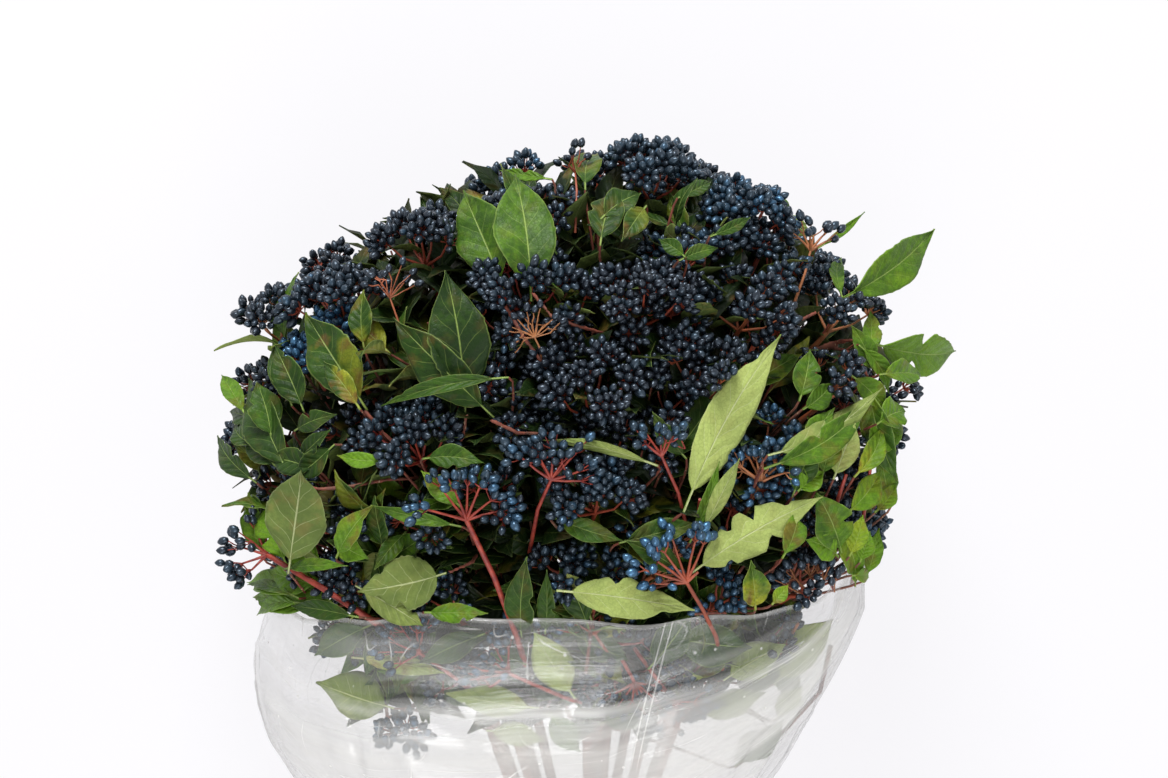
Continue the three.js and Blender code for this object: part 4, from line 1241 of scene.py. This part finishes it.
def roundedStem(node):  # a CAD stem as a smooth skin over its joints, with its cut end pale
    piece = addObject("wood" + node[-3:], nodes[node].data.copy())
    remesh = piece.modifiers.new("skin", "REMESH")
    remesh.mode = "VOXEL"
    remesh.voxel_size = wood["voxel"]
    remesh.use_smooth_shade = True
    smooth = piece.modifiers.new("soften", "SMOOTH")
    smooth.factor = wood["smoothing"]
    smooth.iterations = wood["rounds"]
    thin = piece.modifiers.new("thin", "DECIMATE")
    thin.ratio = wood["kept"]
    piece = bakeObject(piece, "wood" + node[-3:])
    piece.data.materials.clear()
    piece.data.materials.append(bark)
    piece.data.materials.append(cutWood)
    lowest = min(v.co.y for v in piece.data.vertices)
    for face in piece.data.polygons:
        if face.normal.y < -0.8 and face.center.y < lowest + wood["cutDepth"]:
            face.material_index = 1
    return piece


for node in sorted(n for n in nodes if n.startswith("stem_")):
    settle(roundedStem(node), "bark", node)
print("stems built")


def buildBand():  # a few turns of a flat elastic
    elastic = {
        "turns": 4, "steps": 56, "width": 1.7, "thickness": 1.0, "bore": 16.4, "sides": 8, "spread": 5.2,
        "wander": 0.5, "lift": 0.75, "slack": 0.35,
    }
    tie = nodePoints("rubber_band")
    middle = (tie.min(axis=0) + tie.max(axis=0)) / 2
    rings, n = elastic["turns"] * elastic["steps"], elastic["sides"]
    points = []
    for k in range(rings):
        a = 2 * math.pi * k / elastic["steps"]
        offset = (k / (rings - 1) - 0.5) * elastic["spread"] + elastic["wander"] * math.sin(a * 1.7)
        r = elastic["bore"] + elastic["lift"] + elastic["slack"] * math.sin(a * 0.9 + 1)
        for b in (2 * math.pi * i / n for i in range(n)):
            reach = r + 0.5 * elastic["thickness"] * math.cos(b)
            side = offset + 0.5 * elastic["width"] * math.sin(b)
            points.append(middle + np.array([reach * math.cos(a), side, reach * math.sin(a)]))
    faces = []
    for k in range(rings - 1):
        near, far = k * n, (k + 1) * n
        faces += [(near + i, near + (i + 1) % n, far + (i + 1) % n, far + i) for i in range(n)]
    faces += [tuple(range(n - 1, -1, -1)), tuple((rings - 1) * n + i for i in range(n))]
    mesh = meshFrom("band_turns", points, faces)
    mesh.materials.append(plainMaterial("tanRubber", "#c79a5b", 0.6))  # natural rubber, matt and even
    return addObject("band_turns", mesh)


settle(buildBand(), "rubber", "rubber_band")
print("band built")


def sleevePoint(turn, share, inset):  # a place on the film, some way inside the CAD sleeve
    side, rise = math.cos(turn), math.sin(turn)
    rim = sleeve["rimY"] + sleeve["rimRise"] * max(0, side) ** sleeve["rimSharpness"]
    rim += sleeve["rimUnder"] * max(0, -rise) + 2.5 * math.sin(turn * 7 + 1) + 1.5 * math.sin(turn * 17)
    y = sleeve["endY"] + (rim - sleeve["endY"]) * share
    centre, halfWidth, height = sleeveSection(y)
    x = centre + (halfWidth - inset) * math.copysign(abs(side) ** 0.8, side)
    middle = sleeve["waist"] * height
    z = middle + (height - middle - inset) * rise ** 0.9 if rise > 0 else middle + 1.35 * middle * rise
    return x, y, max(z, 0.4)


pressed = {  # the creases and folds in the film; its wall is in metres
    "folds": 46, "bands": 48, "depth": 3.5, "outward": 2.5, "sag": 0.3, "gather": 2.6, "wall": 0.00025,
}


def turnedBy(angle):  # an angle brought to within half a turn of 0
    return (angle + math.pi) % (2 * math.pi) - math.pi


def buildSleeve():  # the film, creased and folded, and gathered at its lower end
    around, along = sleeve["around"], sleeve["along"]
    local = np.random.default_rng(77)
    depth = pressed["depth"]
    folds = []  # ridges that run along the film: angle, width, height, slant, start, end
    for _ in range(pressed["folds"]):
        fold = [local.uniform(0, 2 * math.pi), local.uniform(0.02, 0.06), local.uniform(-depth, depth)]
        folds.append([*fold, local.normal(0, 0.25), local.uniform(-0.2, 0.3), local.uniform(0.5, 1.2)])
    bands = []  # dents that sag across it: place along, angle, length, width, depth, slant
    for _ in range(pressed["bands"]):
        band = [local.uniform(0.15, 1.1), local.uniform(0, 2 * math.pi), local.uniform(0.3, 1.2)]
        bands.append([*band, local.uniform(0.01, 0.04), local.uniform(-depth, depth), local.normal(0, 0.12)])

    def bumpAt(turn, share):
        bump = 0.0
        hang = share + pressed["sag"] * max(0, math.sin(turn))
        for a, w, h, slant, first, last in folds:
            off = abs(turnedBy(turn - a - slant * share))
            if first <= share <= last and off < 3 * w:
                bump += h * max(0, 1 - off / (1.5 * w)) * min(1, (share - first) * 6, (last - share) * 6)
        for s, a, l, w, h, slant in bands:
            off = turnedBy(turn - a)
            near = abs(hang - s - slant * off)
            if abs(off) <= l and near < 2 * w:
                bump += h * max(0, 1 - near / (1.5 * w)) * (1 - (off / l) ** 2)
        return max(-pressed["outward"], bump)

    points, faces = [], []
    for j in range(along + 1):
        share = j / along
        for i in range(around):
            turn = 2 * math.pi * i / around
            gather = math.sin(turn * 22 + 0.6 * math.sin(turn * 5)) * pressed["gather"] * (1 - share) ** 2
            points.append(sleevePoint(turn, share, 0.3 + bumpAt(turn, share) + gather + 1.2))
    for j in range(along):
        for i in range(around):
            k, low, high = (i + 1) % around, j * around, (j + 1) * around
            faces.append((low + i, high + i, high + k, low + k))
    mesh = meshFrom("film_sleeve", points, faces)
    spots = mesh.uv_layers.new(name="film").data
    for face in mesh.polygons:
        i, j = face.index % around, face.index // around
        for loop, (a, b) in zip(face.loop_indices, ((0, 0), (0, 1), (1, 1), (1, 0))):
            spots[loop].uv = ((i + a) / around, (j + b) / along)
    mesh.materials.append(clearFilm)
    piece = addObject("film_sleeve", mesh)
    wall = piece.modifiers.new("wall", "SOLIDIFY")
    wall.thickness = pressed["wall"]
    wall.offset = 0
    return piece


film = buildSleeve()
settle(film, "film", "sleeve")
filmArea = sum(f.area for f in film.data.polygons)
rim = [v.co for v in film.data.vertices[-sleeve["around"]:]]
rimLength = sum((a - b).length for a, b in zip(rim, rim[1:] + rim[:1]))
print("sleeve area", round(filmArea, 4), "rim", round(rimLength, 3))


# The floor, lamps and camera are placed in metres.
def buildFloor():  # white paper that keeps a soft shadow and shows white in the film
    mesh = bpy.data.meshes.new("studioFloor")
    mesh.from_pydata([(-3, -3, 0), (3, -3, 0), (3, 3, 0), (-3, 3, 0)], [], [(0, 1, 2, 3)])
    floor = addObject("studio_floor", mesh)
    material, shader, add = newMaterial("palePaper")
    fillInputs(shader, {"Base Color": "#f1f0f2", "Roughness": 0.9})
    rays = add("LightPath").node.outputs
    seen = add("Math", rays["Is Camera Ray"], rays["Is Transmission Ray"], operation="MAXIMUM")
    seen = add("Math", seen, rays["Is Glossy Ray"], operation="MAXIMUM")
    seen = add("Math", seen, 0.85, operation="MULTIPLY")
    whole = add("MixShader", seen, shader.outputs[0], add("Emission", {"Color": "#fbfafd"}))
    fillInputs(material.node_tree.nodes["Material Output"], {"Surface": whole})
    mesh.materials.append(material)


def addLamp(name, place, aim, size, power):  # a square lamp that faces a place
    data = bpy.data.lights.new(name, "AREA")
    data.energy = power
    data.size = size
    lamp = addObject(name, data)
    lamp.location = place
    lamp.rotation_euler = (Vector(aim) - Vector(place)).to_track_quat("-Z", "Y").to_euler()


buildFloor()
addLamp("windowLight", (-0.3, 1.9, 1.3), (0, 0.08, 0.15), 1.0, 53)
addLamp("fillLight", (0.7, -0.6, 2.1), (0, 0.05, 0.1), 1.6, 13)
addLamp("lowLight", (-0.2, -1.5, 1.4), (0, -0.05, 0.1), 1.0, 17)
world = bpy.data.worlds.new("paleRoom")
bpy.context.scene.world = world
world.use_nodes = True
room = world.node_tree  # white to the camera and in reflections, dimmer as a light
rays = addNode(room, "LightPath").node.outputs
bright = addNode(room, "Math", rays["Is Glossy Ray"], rays["Is Camera Ray"], operation="MAXIMUM")
strength = addNode(room, "MapRange", bright, 0, 1, 0.42, 0.98)
fillInputs(room.nodes["Background"], {"Color": "#f6f6f9", "Strength": strength})

cameraData = bpy.data.cameras.new("camera")
cameraData.lens = 119
camera = addObject("camera", cameraData)
camera.location = origin + np.array([-0.00064, 0.14128, 2.54])
bpy.context.scene.camera = camera
bpy.context.scene.view_settings.view_transform = "Standard"
print("floor, lamps and camera set")

bpy.data.objects.remove(berrySeed)
